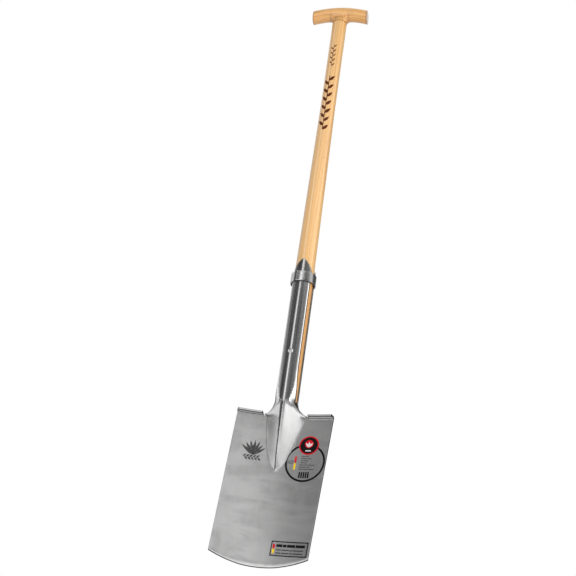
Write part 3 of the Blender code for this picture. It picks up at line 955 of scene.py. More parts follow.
def grip_cage():
    """The arched grip and the boss under it, as a cage to be rounded."""
    half = GRIP_WIDTH / 2
    reach = GRIP_BOSS_REACH
    places = [-half, GRIP_RIM - half, -(half + reach) / 2, -reach, 0.0,
              reach, (half + reach) / 2, half - GRIP_RIM, half]
    bm = bmesh.new()
    rings = [grip_section(bm, x) for x in places]
    underside = []
    for first, second in zip(rings, rings[1:]):
        faces = join_rings(bm, first, second)
        if abs(first[0].co.x) <= reach + MERGE and abs(second[0].co.x) <= reach + MERGE:
            underside += [faces[0], faces[-1]]
    end_drop = GRIP_HEIGHT - GRIP_DROOP
    cap(bm, rings[0], (-half, 0.0, end_drop), False)
    cap(bm, rings[-1], (half, 0.0, end_drop), True)
    boss = bmesh.ops.extrude_face_region(bm, geom=underside)
    bmesh.ops.delete(bm, geom=underside, context="FACES_ONLY")
    radius = cage_radius(SHAFT_TOP_RADIUS)
    for vert in (item for item in boss["geom"] if isinstance(item, bmesh.types.BMVert)):
        flat = Vector((vert.co.x, vert.co.y, 0.0))
        around = flat.normalized() * radius if flat.length > MERGE else flat
        if abs(flat.x) > MERGE and abs(flat.y) > MERGE:
            around = Vector((radius * cos(pi / 4) * (1 if flat.x > 0 else -1),
                             radius * cos(pi / 4) * (1 if flat.y > 0 else -1), 0.0))
        vert.co = around + Vector((0.0, 0.0, SHAFT_SHOULDER + FIT))
    bm.edges.layers.float.new("crease_edge")
    foot = SHAFT_SHOULDER + FIT
    crease_rim(bm, lambda vert: abs(vert.co.z - foot) < MERGE, 1.0)
    crease_rim(bm, lambda vert: abs(abs(vert.co.x) - half) < MERGE, GRIP_END_CREASE)
    bmesh.ops.recalc_face_normals(bm, faces=bm.faces)
    return bm


def make_grip():
    """The grip rounded from its cage, with the mortise bored through for the tenon."""
    made = draft(mesh_of(grip_cage(), "grip"), "grip_draft")
    rounded = made.modifiers.new("round", "SUBSURF")
    rounded.levels = GRIP_ROUNDINGS
    rounded.render_levels = GRIP_ROUNDINGS
    bore = bmesh.new()
    radius = TENON_RADIUS + FIT
    bmesh.ops.create_cone(bore, cap_ends=True, segments=TURN_STEPS, radius1=radius, radius2=radius,
                          depth=GRIP_WIDTH, matrix=Matrix.Translation((0.0, 0.0, GRIP_HEIGHT)))
    return carved(made, ((draft(mesh_of(bore, "bore"), "bore"), "DIFFERENCE"),))


# Labels, the etched motif and the burnt sprigs

# Places on the blade are metres across and down from the treads

FILM_LIFT = 0.00008
PRINT_LIFT = 0.00028
LAYER = 0.00012
SLIP = 0.00008
CELL = 0.004
PROBE = 0.0005
SPRIG_TURN = radians(-6)
SPRIG_LEAN = radians(41)
ROUND_LABEL = (0.0512, 0.0908)
ROUND_LABEL_RADIUS = 0.0366
ROUND_LABEL_LINE = 0.0036
ROUNDEL = (0.0530, 0.0570)
ROUNDEL_RADIUS = 0.0160
ROUNDEL_RIM_RADIUS = 0.0182
ROUNDEL_DISC_RADIUS = 0.0078
ROUNDEL_DISC_DROP = -0.0028
PLATE_LEFT = 0.0180
PLATE_RIGHT = 0.0835
PLATE_TOP = 0.2370
PLATE_LOW = 0.2635
PLATE_LINE = 0.0018
LINE_GAP = 0.0011
BARS = [(0.0430 + 0.0040 * bar, 0.1085, 0.0027, 0.0115) for bar in range(5)]
RED_BLOCKS = [(0.0312, 0.0790, 0.0034, 0.0120), (0.0212, 0.2425, 0.0038, 0.0075)]
YELLOW_BLOCKS = [(0.0312, 0.0925, 0.0034, 0.0120), (0.0212, 0.2510, 0.0038, 0.0080)]

# Broken lines: place across and down, height, lengths
THICK_LINE = (0.0275, 0.2425, 0.0046, (0.0105, 0.0062, 0.0142, 0.0165))
THIN_LINES = [
    (0.0430, 0.0780, 0.0012, (0.0065, 0.0050)),
    (0.0425, 0.0821, 0.0012, (0.0105, 0.0075)),
    (0.0430, 0.0862, 0.0012, (0.0040, 0.0080)),
    (0.0430, 0.0903, 0.0012, (0.0058, 0.0042)),
    (0.0410, 0.0944, 0.0012, (0.0080, 0.0062, 0.0120)),
    (0.0410, 0.0985, 0.0012, (0.0125, 0.0060)),
    (0.0410, 0.1026, 0.0012, (0.0062, 0.0090, 0.0105)),
    (0.0195, 0.0880, 0.0014, (0.0040, 0.0055)),
    (0.0195, 0.0915, 0.0014, (0.0095,)),
    (0.0275, 0.2515, 0.0019, (0.0090, 0.0135, 0.0050, 0.0175)),
    (0.0275, 0.2570, 0.0019, (0.0090, 0.0135, 0.0050, 0.0175)),
]


def blade_wall(x, s):
    """The blade's wall, which thins down to its sharpened edge."""
    end = edge_length(x) - ground_edge(abs(x) / half_width(s))
    return SHEET * (1.0 - (1.0 - BEVEL_WALL_SHARE) * (s - TREAD_BEND) / (end - TREAD_BEND))


def blade_front(x, s, lift):
    """A point on the blade's front face, lifted off it."""
    def back(x, s):
        return blade_point(x, s, dish(x) + ridge(x, s))
    across = back(x + PROBE, s) - back(x - PROBE, s)
    down = back(x, s + PROBE) - back(x, s - PROBE)
    return back(x, s) + down.cross(across).normalized() * (blade_wall(x, s) + lift)


def shaft_front(x, z, lift):
    """A point on the shaft, x round from the burnt sprigs' middle line, lifted off the wood."""
    radius = shaft_radius(z)
    turn = SPRIG_TURN + x / radius
    return Vector(((radius + lift) * sin(turn), -(radius + lift) * cos(turn), z))


def laid(bm, name, point_at, lift):
    """A flat drawing laid on a curved face as a thin closed slip."""
    bmesh.ops.remove_doubles(bm, verts=bm.verts, dist=MERGE)
    outward = []
    for face in bm.faces:
        middle = face.calc_center_median()
        outward.append(point_at(middle.x, middle.y, PROBE) - point_at(middle.x, middle.y, 0.0))
    for vert in bm.verts:
        vert.co = point_at(vert.co.x, vert.co.y, lift)
    for face, away in zip(bm.faces, outward):
        face.normal_update()
        if face.normal.dot(away) < 0.0:
            face.normal_flip()
    made = draft(mesh_of(bm, name), name)
    wall = made.modifiers.new("thickness", "SOLIDIFY")
    wall.thickness = SLIP
    wall.offset = 1.0
    return settled(made)


def draw_round(bm, x, y, inner, outer, rings=1, steps=96):
    """A disc, or a ring when it has an inner radius, in bands of cells."""
    rows = []
    for band in range(rings + 1):
        radius = inner + (outer - inner) * band / rings
        rows.append(add_row(bm, [(x + across, y + down, 0.0) for across, down in circle(radius, steps)]))
    for near, far in zip(rows, rows[1:]):
        join_rings(bm, near, far)


def draw_bar(bm, x, y, width, height):
    """A plain rectangle in cells that are short enough to follow the curved face."""
    steps = max(1, ceil(width / CELL))
    near = add_row(bm, [(x + width * i / steps, y, 0.0) for i in range(steps + 1)])
    far = add_row(bm, [(x + width * i / steps, y + height, 0.0) for i in range(steps + 1)])
    join_rows(bm, near, far)


def draw_broken_line(bm, x, y, height, lengths):
    """A plain line in short lengths."""
    for length in lengths:
        draw_bar(bm, x, y, length, height)
        x += length + LINE_GAP


def leaf_row_tree(surface):
    """Leaves set left and right in turn along a row, or fanned out from one point."""
    sizes = [("Leaves", "Int"), ("Row length", "Float"), ("Leaf length", "Float"), ("Leaf width", "Float"),
             ("Lean", "Float"), ("Fan", "Float"), ("Smallest", "Float"), ("Seed", "Int")]
    tree, size, end, keys = geometry_tree("leaf_row", sizes)
    blank = place(tree, "GeometryNodeMeshGrid", {
        "Size X": 1.0, "Size Y": 1.0, "Vertices X": 3, "Vertices Y": 11})
    spot = place(tree, "GeometryNodeInputPosition")
    parts = place(tree, "ShaderNodeSeparateXYZ", {"Vector": spot.outputs[0]})
    along = maths(tree, "ADD", parts.outputs["Y"], 0.5)
    swell = maths(tree, "SINE", maths(tree, "MULTIPLY", maths(tree, "POWER", along, 0.8), pi))
    outline = place(tree, "ShaderNodeCombineXYZ", {
        "X": maths(tree, "MULTIPLY", maths(tree, "MULTIPLY", parts.outputs["X"], swell), size["Leaf width"]),
        "Y": maths(tree, "MULTIPLY", along, size["Leaf length"])})
    leaf = place(tree, "GeometryNodeSetPosition", {
        "Geometry": blank.outputs["Mesh"], "Position": outline.outputs[0]})
    leaf = place(tree, "GeometryNodeMergeByDistance", {"Geometry": leaf.outputs[0], "Distance": MERGE})
    gap = place(tree, "ShaderNodeCombineXYZ", {
        "Y": maths(tree, "DIVIDE", size["Row length"], size["Leaves"])})
    row = place(tree, "GeometryNodeMeshLine", {"Count": size["Leaves"], "Offset": gap.outputs[0]})
    index = place(tree, "GeometryNodeInputIndex").outputs[0]
    side = maths(tree, "MULTIPLY_ADD", maths(tree, "MODULO", index, 2.0), 2.0, -1.0)
    last = maths(tree, "SUBTRACT", size["Leaves"], 1.0)
    share = maths(tree, "SUBTRACT", maths(tree, "DIVIDE", index, last), 0.5)
    turn = maths(tree, "MULTIPLY_ADD", share, size["Fan"], maths(tree, "MULTIPLY", side, size["Lean"]))
    scale = place(tree, "FunctionNodeRandomValue", {2: size["Smallest"], 3: 1.0, "Seed": size["Seed"]},
                  data_type="FLOAT")
    leaves = place(tree, "GeometryNodeInstanceOnPoints", {
        "Points": row.outputs["Mesh"], "Instance": leaf.outputs[0],
        "Rotation": place(tree, "ShaderNodeCombineXYZ", {"Z": turn}).outputs[0],
        "Scale": scale.outputs[1]})
    close_tree(tree, leaves.outputs[0], surface, end)
    return tree, keys


def flat_place(x, y, turn=0.0):
    return Matrix.Translation((x, y, 0.0)) @ Matrix.Rotation(turn, 4, "Z")


def draw_leaves(bm, pattern, where, leaves, length, width, row=0.0, lean=0.0, fan=0.0, smallest=1.0, seed=0):
    """Adds a row or a fan of leaves to a flat drawing, turned and moved by a matrix."""
    tree, keys = pattern
    mesh = grown("leaves", tree, keys, {
        "Leaves": leaves, "Row length": row, "Leaf length": length, "Leaf width": width, "Lean": lean,
        "Fan": fan, "Smallest": smallest, "Seed": seed})
    mesh.transform(where)
    bm.from_mesh(mesh)
    bpy.data.meshes.remove(mesh)


def draw_etching(pattern):
    """A fan of leaves over a short row of small ones, for the blade's left side."""
    bm = bmesh.new()
    draw_leaves(bm, pattern, flat_place(-0.0465, 0.0835, pi), 7, 0.0295, 0.0058,
                fan=radians(106), smallest=0.84, seed=3)
    draw_leaves(bm, pattern, flat_place(-0.0635, 0.0885, -pi / 2), 10, 0.0085, 0.0036,
                row=0.030, lean=radians(42), smallest=0.8, seed=5)
    return bm


def draw_sprig(pattern, low, height, leaves, length, width, stem, seed):
    """A leafy sprig, to be burnt into the shaft's front."""
    bm = bmesh.new()
    draw_leaves(bm, pattern, flat_place(0.0, low), leaves, length, width,
                row=height - length * cos(SPRIG_LEAN), lean=SPRIG_LEAN, smallest=0.92, seed=seed)
    draw_bar(bm, -stem / 2, low, stem, height - length * 0.6)
    return bm


def draw_films():
    """The two clear labels: a round one and a plate."""
    bm = bmesh.new()
    draw_round(bm, *ROUND_LABEL, 0.0, ROUND_LABEL_RADIUS, rings=9)
    draw_bar(bm, PLATE_LEFT, PLATE_TOP, PLATE_RIGHT - PLATE_LEFT, PLATE_LOW - PLATE_TOP)
    return bm


def draw_bars(bars):
    bm = bmesh.new()
    for bar in bars:
        draw_bar(bm, *bar)
    return bm


def draw_black():
    """The labels' outlines, the even bars and the thick broken line."""
    bm = bmesh.new()
    draw_round(bm, *ROUND_LABEL, ROUND_LABEL_RADIUS - ROUND_LABEL_LINE, ROUND_LABEL_RADIUS)
    for bar in BARS:
        draw_bar(bm, *bar)
    draw_broken_line(bm, *THICK_LINE)
    width = PLATE_RIGHT - PLATE_LEFT
    draw_bar(bm, PLATE_LEFT, PLATE_TOP, width, PLATE_LINE)
    draw_bar(bm, PLATE_LEFT, PLATE_LOW - PLATE_LINE, width, PLATE_LINE)
    for x in (PLATE_LEFT, PLATE_RIGHT - PLATE_LINE):
        draw_bar(bm, x, PLATE_TOP + PLATE_LINE, PLATE_LINE, PLATE_LOW - PLATE_TOP - 2 * PLATE_LINE)
    return bm


def draw_thin_lines():
    bm = bmesh.new()
    for line in THIN_LINES:
        draw_broken_line(bm, *line)
    return bm


def draw_roundel(inner, outer, drop=0.0):
    """A disc or a rim of the roundel, dropped so far from its middle towards the blade's foot."""
    bm = bmesh.new()
    rings = max(1, ceil((outer - inner) / CELL))
    draw_round(bm, ROUNDEL[0], ROUNDEL[1] + drop, inner, outer, rings=rings, steps=72)
    return bm


def draw_roundel_leaf(pattern):
    """Three leaves over a short bar."""
    bm = bmesh.new()
    draw_leaves(bm, pattern, flat_place(ROUNDEL[0], ROUNDEL[1] + 0.0035, pi), 3, 0.0110, 0.0036,
                fan=radians(76), smallest=0.95, seed=2)
    draw_bar(bm, ROUNDEL[0] - 0.0050, ROUNDEL[1] + 0.0095, 0.0100, 0.0022)
    return bm


def lay(bm, name, surface, lift=PRINT_LIFT, point_at=blade_front):
    """A flat drawing made a piece of its own on the blade or on the shaft."""
    piece_from_mesh(laid(bm, name, point_at, lift), name, surface)


# Materials

# Where the finish and the painted light and shade change, in metres across the spade
# Painted highlight on the ridge's left flank, painted shade on its right
LEFT_FLANK = (-0.007, -0.004)
RIGHT_FLANK = (0.001, 0.004)
# Painted dark reflection left of the ridge's crest
DARK_REFLECTION_LEFT = (-0.0034, -0.0022)
DARK_REFLECTION_RIGHT = (-0.0010, -0.0002)
DARK_REFLECTION_WIDENING = 0.0034
DARK_REFLECTION_RAGGEDNESS = 0.0032
# Painted highlight up the strap's crest: its width and its wander
CREST = (0.0006, 0.0022)
CREST_WANDER = 0.0012
# Painted shade on the flanges, stronger on the right
DARK_FLANGE = (-0.004, 0.012)
# Painted reflection on the strap's point: its bright stripe
TIP_CREST = (-0.0012, 0.0002, 0.0022, 0.0046)
# Painted reflections on the ring: a highlight, a dark stripe, and shade on its right
RING_HIGHLIGHT = (-0.0105, -0.0090, 0.0020, 0.0050)
RING_DARK_REFLECTION = (-0.0142, -0.0128, -0.0108, -0.0094)
RING_RIGHT_SHADE = (0.0055, 0.0085)
# Painted highlight up the shaft: its width and its drift
HIGHLIGHT_LINE = (0.0004, 0.0022)
HIGHLIGHT_LINE_DRIFT = (0.0015, 0.0050)
GRIP_END = (GRIP_WIDTH / 2 - 0.0028, GRIP_WIDTH / 2 + 0.0002)
GRIP_HOLLOW = 0.0185
GRIP_HOLLOW_EDGE = (0.0028, 0.0050)

# Where it changes going up, from the blade's foot
TREADS = STAND.z
RIDGE_UPPER_PART = (TREADS - 0.085, TREADS - 0.040)
# Painted dark reflection: where it widens towards the strap
DARK_REFLECTION_WIDENS = (TREADS - 0.060, TREADS + 0.016)
RING_FOOT = TREADS + RING_LOW
# Painted shadow under the ring
RING_SHADOW = (RING_FOOT - 0.004, RING_FOOT, RING_FOOT + 0.002, RING_FOOT + 0.006)
STRAP_POINT = (TREADS + STRAP_POINT_START - 0.002, TREADS + STRAP_POINT_START + 0.002)
# Painted shade on the wood between the straps
SHAFT_SHADE = (RING_FOOT - 0.004, RING_FOOT + 0.012)
# Painted highlight up the shaft: where it drifts
HIGHLIGHT_LINE_DRIFTS = (TREADS + 0.30, TREADS + 0.72)
GRIP_JOINT = (TREADS + SHAFT_SHOULDER + 0.0003, TREADS + SHAFT_SHOULDER + 0.0022)
GRIP_MIDDLE = (TREADS + GRIP_HEIGHT - 0.010, TREADS + GRIP_HEIGHT + 0.002)


def shader_of(name):
    """A new material, its nodes and its shader."""
    made = bpy.data.materials.new(name)
    made.use_nodes = True
    return made, made.node_tree, made.node_tree.nodes["Principled BSDF"]


def noise(tree, where, scale, detail=3.0, roughness=0.5, distortion=0.0):
    return place(tree, "ShaderNodeTexNoise", {
        "Vector": where, "Scale": scale, "Detail": detail, "Roughness": roughness,
        "Distortion": distortion}).outputs["Fac"]


def stretched(tree, scale, move=(0.0, 0.0, 0.0), turn=(0.0, 0.0, 0.0)):
    spot = place(tree, "ShaderNodeTexCoord").outputs["Object"]
    return place(tree, "ShaderNodeMapping", {
        "Vector": spot, "Location": move, "Rotation": turn, "Scale": scale}).outputs[0]


def span(tree, value, low, high, to_low=0.0, to_high=1.0, soft=True):
    return place(tree, "ShaderNodeMapRange", {
        "Value": value, "From Min": low, "From Max": high, "To Min": to_low, "To Max": to_high},
        interpolation_type="SMOOTHSTEP" if soft else "LINEAR").outputs["Result"]


def mixed(tree, factor, first, second, blend="MIX"):
    """Two colours mixed, each a socket or three numbers."""
    made = tree.nodes.new("ShaderNodeMix")
    made.data_type = "RGBA"
    made.blend_type = blend
    plug(tree, made.inputs[0], factor)
    for index, colour in ((6, first), (7, second)):
        plug(tree, made.inputs[index], (*colour, 1.0) if isinstance(colour, tuple) else colour)
    return made.outputs[2]


def mixed_value(tree, factor, first, second):
    made = tree.nodes.new("ShaderNodeMix")
    for index, value in ((0, factor), (2, first), (3, second)):
        plug(tree, made.inputs[index], value)
    return made.outputs[0]


def ramp(tree, value, stops):
    made = place(tree, "ShaderNodeValToRGB", {"Fac": value})
    scale = made.color_ramp
    while len(scale.elements) < len(stops):
        scale.elements.new(0.5)
    for element, (at, colour) in zip(scale.elements, stops):
        element.position = at
        element.color = (*colour, 1.0)
    return made.outputs["Color"]


def bump(tree, height, distance, strength=1.0, under=None):
    values = {"Height": height, "Distance": distance, "Strength": strength}
    if under is not None:
        values["Normal"] = under
    return place(tree, "ShaderNodeBump", values).outputs["Normal"]


def grey(level):
    return (level, level, level * 0.995)


def toned(tree, colour, amount, level):
    """A colour with an amount of grey laid over it."""
    return mixed(tree, amount, colour, grey(level))


def times(tree, first, second):
    return maths(tree, "MULTIPLY", first, second)


def stripe(tree, value, start, full, fade, end, most=1.0):
    """A stripe with two soft edges: it rises from start to full and falls from fade to end."""
    return times(tree, span(tree, value, start, full, 0.0, most), span(tree, value, fade, end, 1.0, 0.0))


def connect(tree, shader, colour, rough, normal):
    for name, socket in (("Base Color", colour), ("Roughness", rough), ("Normal", normal)):
        tree.links.new(socket, shader.inputs[name])


def where_is(tree):
    spot = place(tree, "ShaderNodeTexCoord").outputs["Object"]
    return place(tree, "ShaderNodeSeparateXYZ", {"Vector": spot}).outputs


def attribute(tree, name):
    return place(tree, "ShaderNodeAttribute", attribute_name=name).outputs["Fac"]


def satin_steel(tree, clouds, brushed):
    """Satin sheet: soft clouds and paler patches under fine brushing."""
    patches = noise(tree, stretched(tree, (0.6, 1.0, 2.2), (0.9, 0.4, 0.7)), 17.0, 3.0, 0.55, 0.4)
    satin = mixed(tree, span(tree, clouds, 0.3, 0.7), grey(0.62), grey(0.78))
    satin = toned(tree, satin, span(tree, patches, 0.40, 0.62, 0.0, 0.75), 0.86)
    return toned(tree, satin, span(tree, brushed, 0.3, 0.7, 0.0, 0.14), 0.56)


def ridge_steel(tree, clouds, axis):
    """The polished ridge, with a painted highlight high on its left flank and painted shade on its right."""
    flank = mixed(tree, span(tree, clouds, 0.3, 0.7), grey(0.64), grey(0.78))
    upper = span(tree, axis["Z"], *RIDGE_UPPER_PART)
    # Painted highlight high on the left flank, painted shade high on the right
    bright = times(tree, upper, span(tree, axis["X"], *LEFT_FLANK, 0.45, 0.0))
    painted_right_shade = times(tree, upper, span(tree, axis["X"], *RIGHT_FLANK, 0.0, 0.32))
    return toned(tree, toned(tree, flank, bright, 0.95), painted_right_shade, 0.42)


def painted_dark_reflection(tree, axis):
    """A painted dark reflection: a ragged dark line left of the ridge's crest, wider towards the strap."""
    ragged = noise(tree, stretched(tree, (1.0, 1.0, 1.0), (0.1, 0.7, 0.3)), 160.0, 3.0, 0.6)
    drift = times(tree, maths(tree, "SUBTRACT", ragged, 0.5), DARK_REFLECTION_RAGGEDNESS)
    across = maths(tree, "ADD", axis["X"], drift)
    widening = span(tree, axis["Z"], *DARK_REFLECTION_WIDENS, 0.0, DARK_REFLECTION_WIDENING)
    left = span(tree, maths(tree, "ADD", across, widening), *DARK_REFLECTION_LEFT)
    return times(tree, left, span(tree, across, *DARK_REFLECTION_RIGHT, 1.0, 0.0))


def painted_crest_highlight(tree, axis, bands):
    """A painted highlight: a bright line, a little wandering, up the strap's middle."""
    wander = times(tree, maths(tree, "SUBTRACT", bands, 0.5), CREST_WANDER)
    across = maths(tree, "ABSOLUTE", axis["X"])
    return span(tree, maths(tree, "ADD", across, wander), *CREST, 1.0, 0.0)


def steel_of_blade():
    """Satin stainless, a polished ridge, and a strap whose darker burnished tone is partly painted dark
    reflection, with ground sides and a painted highlight up its crest.
    """
    made, tree, shader = shader_of("spade_steel")
    axis = where_is(tree)
    brushed = noise(tree, stretched(tree, (1.0, 0.2, 0.012)), 900.0, 2.0, 0.6)
    clouds = noise(tree, stretched(tree, (1.0, 1.0, 0.6), (0.3, 0.1, 0.2)), 28.0, 4.0, 0.55, 0.4)
    streaks = noise(tree, stretched(tree, (1.0, 1.0, 0.01)), 700.0, 2.0, 0.6)
    bands = noise(tree, stretched(tree, (1.0, 1.0, 0.02), (0.2, 0.5, 0.1)), 240.0, 1.0, 0.5)
    polish = attribute(tree, "polish")
    burnish_and_dark_reflection = attribute(tree, "burnish_and_dark_reflection")
    ground = span(tree, attribute(tree, "ground"), 0.3, 0.8)

    # The strap's darker steel: partly its burnished tone, partly painted dark reflection
    strap = mixed(tree, span(tree, bands, 0.35, 0.65), grey(0.22), grey(0.46))
    strap = toned(tree, strap, span(tree, streaks, 0.4, 0.8, 0.0, 0.4), 0.46)
    colour = mixed(tree, polish, satin_steel(tree, clouds, brushed), ridge_steel(tree, clouds, axis))
    # Painted dark reflection left of the ridge's crest
    colour = toned(tree, colour, times(tree, painted_dark_reflection(tree, axis), polish), 0.10)
    colour = mixed(tree, burnish_and_dark_reflection, colour, strap)
    # Painted highlight up the strap's crest
    colour = toned(tree, colour, times(tree, painted_crest_highlight(tree, axis, bands), burnish_and_dark_reflection), 0.74)
    # Ground edges, ground strap sides and tread fronts: ground steel, partly painted highlight
    colour = toned(tree, colour, ground, 0.94)
    # Painted shade on the strap root's flanges, stronger on the right
    right = span(tree, axis["X"], *DARK_FLANGE, 0.35, 1.0)
    colour = toned(tree, colour, times(tree, attribute(tree, "flange"), right), 0.20)
    # Painted shade on the treads' folds and lips
    colour = toned(tree, colour, span(tree, attribute(tree, "shade"), 0.5, 0.85), 0.035)
    # Painted dark reflection on the rims of the sheet, the treads and the strap
    colour = toned(tree, colour, span(tree, attribute(tree, "rim"), 0.55, 0.80), 0.05)

    # Painted shadow under the slanted ring, and above it the strap's tip in a painted dark tone with a
    # painted highlight
    lean = times(tree, maths(tree, "SUBTRACT", axis["Y"], STAND.y), tan(RING_SLANT))
    height = maths(tree, "ADD", axis["Z"], lean)
    colour = toned(tree, colour, stripe(tree, height, *RING_SHADOW, most=0.9), 0.05)
    # Painted reflection on the strap's point: dark with a bright stripe
    point = mixed(tree, stripe(tree, axis["X"], *TIP_CREST), grey(0.20), grey(0.96))
    colour = mixed(tree, span(tree, height, *STRAP_POINT, 0.0, 0.8), colour, point)

    rough = mixed_value(tree, polish, span(tree, brushed, 0.2, 0.8, 0.29, 0.33), 0.27)
    rough = mixed_value(tree, burnish_and_dark_reflection, rough, span(tree, streaks, 0.2, 0.8, 0.22, 0.32))
    rough = mixed_value(tree, ground, rough, 0.32)
    hammered = noise(tree, stretched(tree, (1.0, 1.0, 0.35), (0.4, 0.2, 0.6)), 55.0, 2.0, 0.5)
    normal = bump(tree, hammered, 0.0004, 0.3, bump(tree, brushed, 0.00004, 0.5))
    connect(tree, shader, colour, rough, normal)
    shader.inputs["Metallic"].default_value = 1.0
    return made


def polished_steel(name, low, high, rough_low, rough_high, dents, mottle=45.0, painted_reflections=False):
    """Bright drawn steel between two greys, with fine drawing lines and dents of a depth.

    A band can take painted reflections: a painted highlight in front, a painted dark stripe left of it and
    painted shade on its right.
    """
    made, tree, shader = shader_of(name)
    lines = noise(tree, stretched(tree, (1.0, 1.0, 0.03)), 650.0, 2.0, 0.6)
    clouds = noise(tree, stretched(tree, (1.0, 1.0, 0.15), (0.35, 0.2, 0.1)), mottle, 2.0, 0.5)
    colour = mixed(tree, span(tree, clouds, 0.36, 0.64), grey(low), grey(high))
    colour = toned(tree, colour, span(tree, lines, 0.45, 0.75, 0.0, 0.4), low * 0.7)
    if painted_reflections:
        # Painted reflections: a highlight in front, a dark stripe left of it, shade on the right
        across = where_is(tree)["X"]
        colour = toned(tree, colour, stripe(tree, across, *RING_HIGHLIGHT, most=0.9), 1.0)
        colour = toned(tree, colour, stripe(tree, across, *RING_DARK_REFLECTION, most=0.9), 0.09)
        colour = toned(tree, colour, span(tree, across, *RING_RIGHT_SHADE, 0.0, 0.85), 0.25)
    rough = span(tree, lines, 0.2, 0.8, rough_low, rough_high)
    hammered = noise(tree, stretched(tree, (1.0, 1.0, 1.0)), 90.0, 1.0)
    normal = bump(tree, hammered, dents, 0.5, bump(tree, lines, 0.00003, 0.5))
    connect(tree, shader, colour, rough, normal)
    shader.inputs["Metallic"].default_value = 1.0
    return made


def painted_highlight_and_shade(tree, colour, strap_shade):
    """A painted highlight, a faint pale line that drifts up the shaft, and painted shade on the wood below
    the ring, between the straps.
    """
    axis = where_is(tree)
    # Painted highlight: a pale line up the lacquered shaft
    drift = span(tree, axis["Z"], *HIGHLIGHT_LINE_DRIFTS, *HIGHLIGHT_LINE_DRIFT, soft=False)
    beside = maths(tree, "ABSOLUTE", maths(tree, "ADD", axis["X"], drift))
    colour = mixed(tree, span(tree, beside, *HIGHLIGHT_LINE, 0.6, 0.0), colour, (1.0, 0.74, 0.48))
    # Painted shade on the wood below the ring, between the straps
    return mixed(tree, span(tree, axis["Z"], *SHAFT_SHADE, 0.45, 0.0), colour, strap_shade, "MULTIPLY")


def dark_ends(tree, colour, slow, ends):
    """The grip's darker end grain, knots and joint, and darker arcs beside its boss below its middle."""
    axis = where_is(tree)
    across = maths(tree, "ABSOLUTE", axis["X"])
    end = span(tree, maths(tree, "ADD", across, times(tree, slow, 0.002)), *GRIP_END, 0.0, 0.9)
    knots = noise(tree, stretched(tree, (0.8, 1.0, 1.0), (0.6, 0.2, 0.45)), 75.0, 1.0, 0.4)
    joint = span(tree, axis["Z"], *GRIP_JOINT, 0.8, 0.0)
    beyond = maths(tree, "ABSOLUTE", maths(tree, "SUBTRACT", across, GRIP_HOLLOW))
    arc = span(tree, maths(tree, "ADD", beyond, times(tree, slow, 0.006)), *GRIP_HOLLOW_EDGE, 0.55, 0.0)
    low = span(tree, axis["Z"], *GRIP_MIDDLE, 1.0, 0.0)
    for amount in (end, span(tree, knots, 0.60, 0.76, 0.0, 0.45), joint, times(tree, arc, low)):
        colour = mixed(tree, amount, colour, ends)
    return colour


def lacquered_ash(name, along, rings_turn, pale, honey, dark, strap_shade=None, ends=None):
    """Ash under clear lacquer: long growth lines, fine pores and slow changes of colour.

    The grain runs along the axis with this number, 0 for X or 2 for Z.
    """
    made, tree, shader = shader_of(name)
    thin, fine = ([size if axis == along else 1.0 for axis in range(3)] for size in (0.035, 0.012))
    slow = noise(tree, stretched(tree, thin, (0.11, 0.07, 0.31)), 60.0, 3.0, 0.5, 0.6)
    lines = place(tree, "ShaderNodeTexWave", {
        "Vector": stretched(tree, thin, turn=rings_turn), "Scale": 95.0,
        "Distortion": 5.0, "Detail": 2.0, "Detail Scale": 1.2, "Detail Roughness": 0.5},
        wave_type="BANDS", bands_direction="X", wave_profile="SAW").outputs["Fac"]
    pores = noise(tree, stretched(tree, fine, (0.5, 0.3, 0.2)), 1500.0, 2.0, 0.6)
    middle = tuple((a + b) / 2 for a, b in zip(pale, honey))
    colour = ramp(tree, slow, [(0.34, honey), (0.52, middle), (0.68, pale)])
    colour = mixed(tree, span(tree, lines, 0.55, 1.0, 0.0, 0.50), colour, dark)
    colour = mixed(tree, span(tree, pores, 0.56, 0.74, 0.0, 0.40), colour, dark)
    if strap_shade:
        colour = painted_highlight_and_shade(tree, colour, strap_shade)
    if ends:
        colour = dark_ends(tree, colour, slow, ends)
    normal = bump(tree, lines, 0.00006, 0.4, bump(tree, pores, 0.00005, 0.5))
    connect(tree, shader, colour, span(tree, pores, 0.3, 0.8, 0.34, 0.50), normal)
    shader.inputs["Coat Weight"].default_value = 1.0
    shader.inputs["Coat Roughness"].default_value = 0.09
    shader.inputs["Coat IOR"].default_value = 1.65
    return made


def coloured(name, colour, worn):
    """Printed, etched or burnt colour, a little uneven in tone and gloss."""
    made, tree, shader = shader_of(name)
    uneven = noise(tree, stretched(tree, (1.0, 1.0, 1.0)), 420.0, 3.0, 0.6)
    connect(tree, shader, mixed(tree, span(tree, uneven, 0.38, 0.72), colour, worn),
            span(tree, uneven, 0.2, 0.8, 0.45, 0.60), bump(tree, uneven, 0.00002, 0.4))
    shader.inputs["Specular IOR Level"].default_value = 0.12
    return made


def end_grain(name):
    """Darker hardwood for the wedge, with close lines across it."""
    made, tree, shader = shader_of(name)
    lines = noise(tree, stretched(tree, (1.0, 0.15, 0.05)), 900.0, 3.0, 0.6)
    colour = mixed(tree, span(tree, lines, 0.3, 0.7), (0.34, 0.16, 0.07), (0.50, 0.27, 0.12))
    connect(tree, shader, colour, span(tree, lines, 0.2, 0.8, 0.4, 0.6), bump(tree, lines, 0.00005, 0.5))
    return made


# Studio and camera

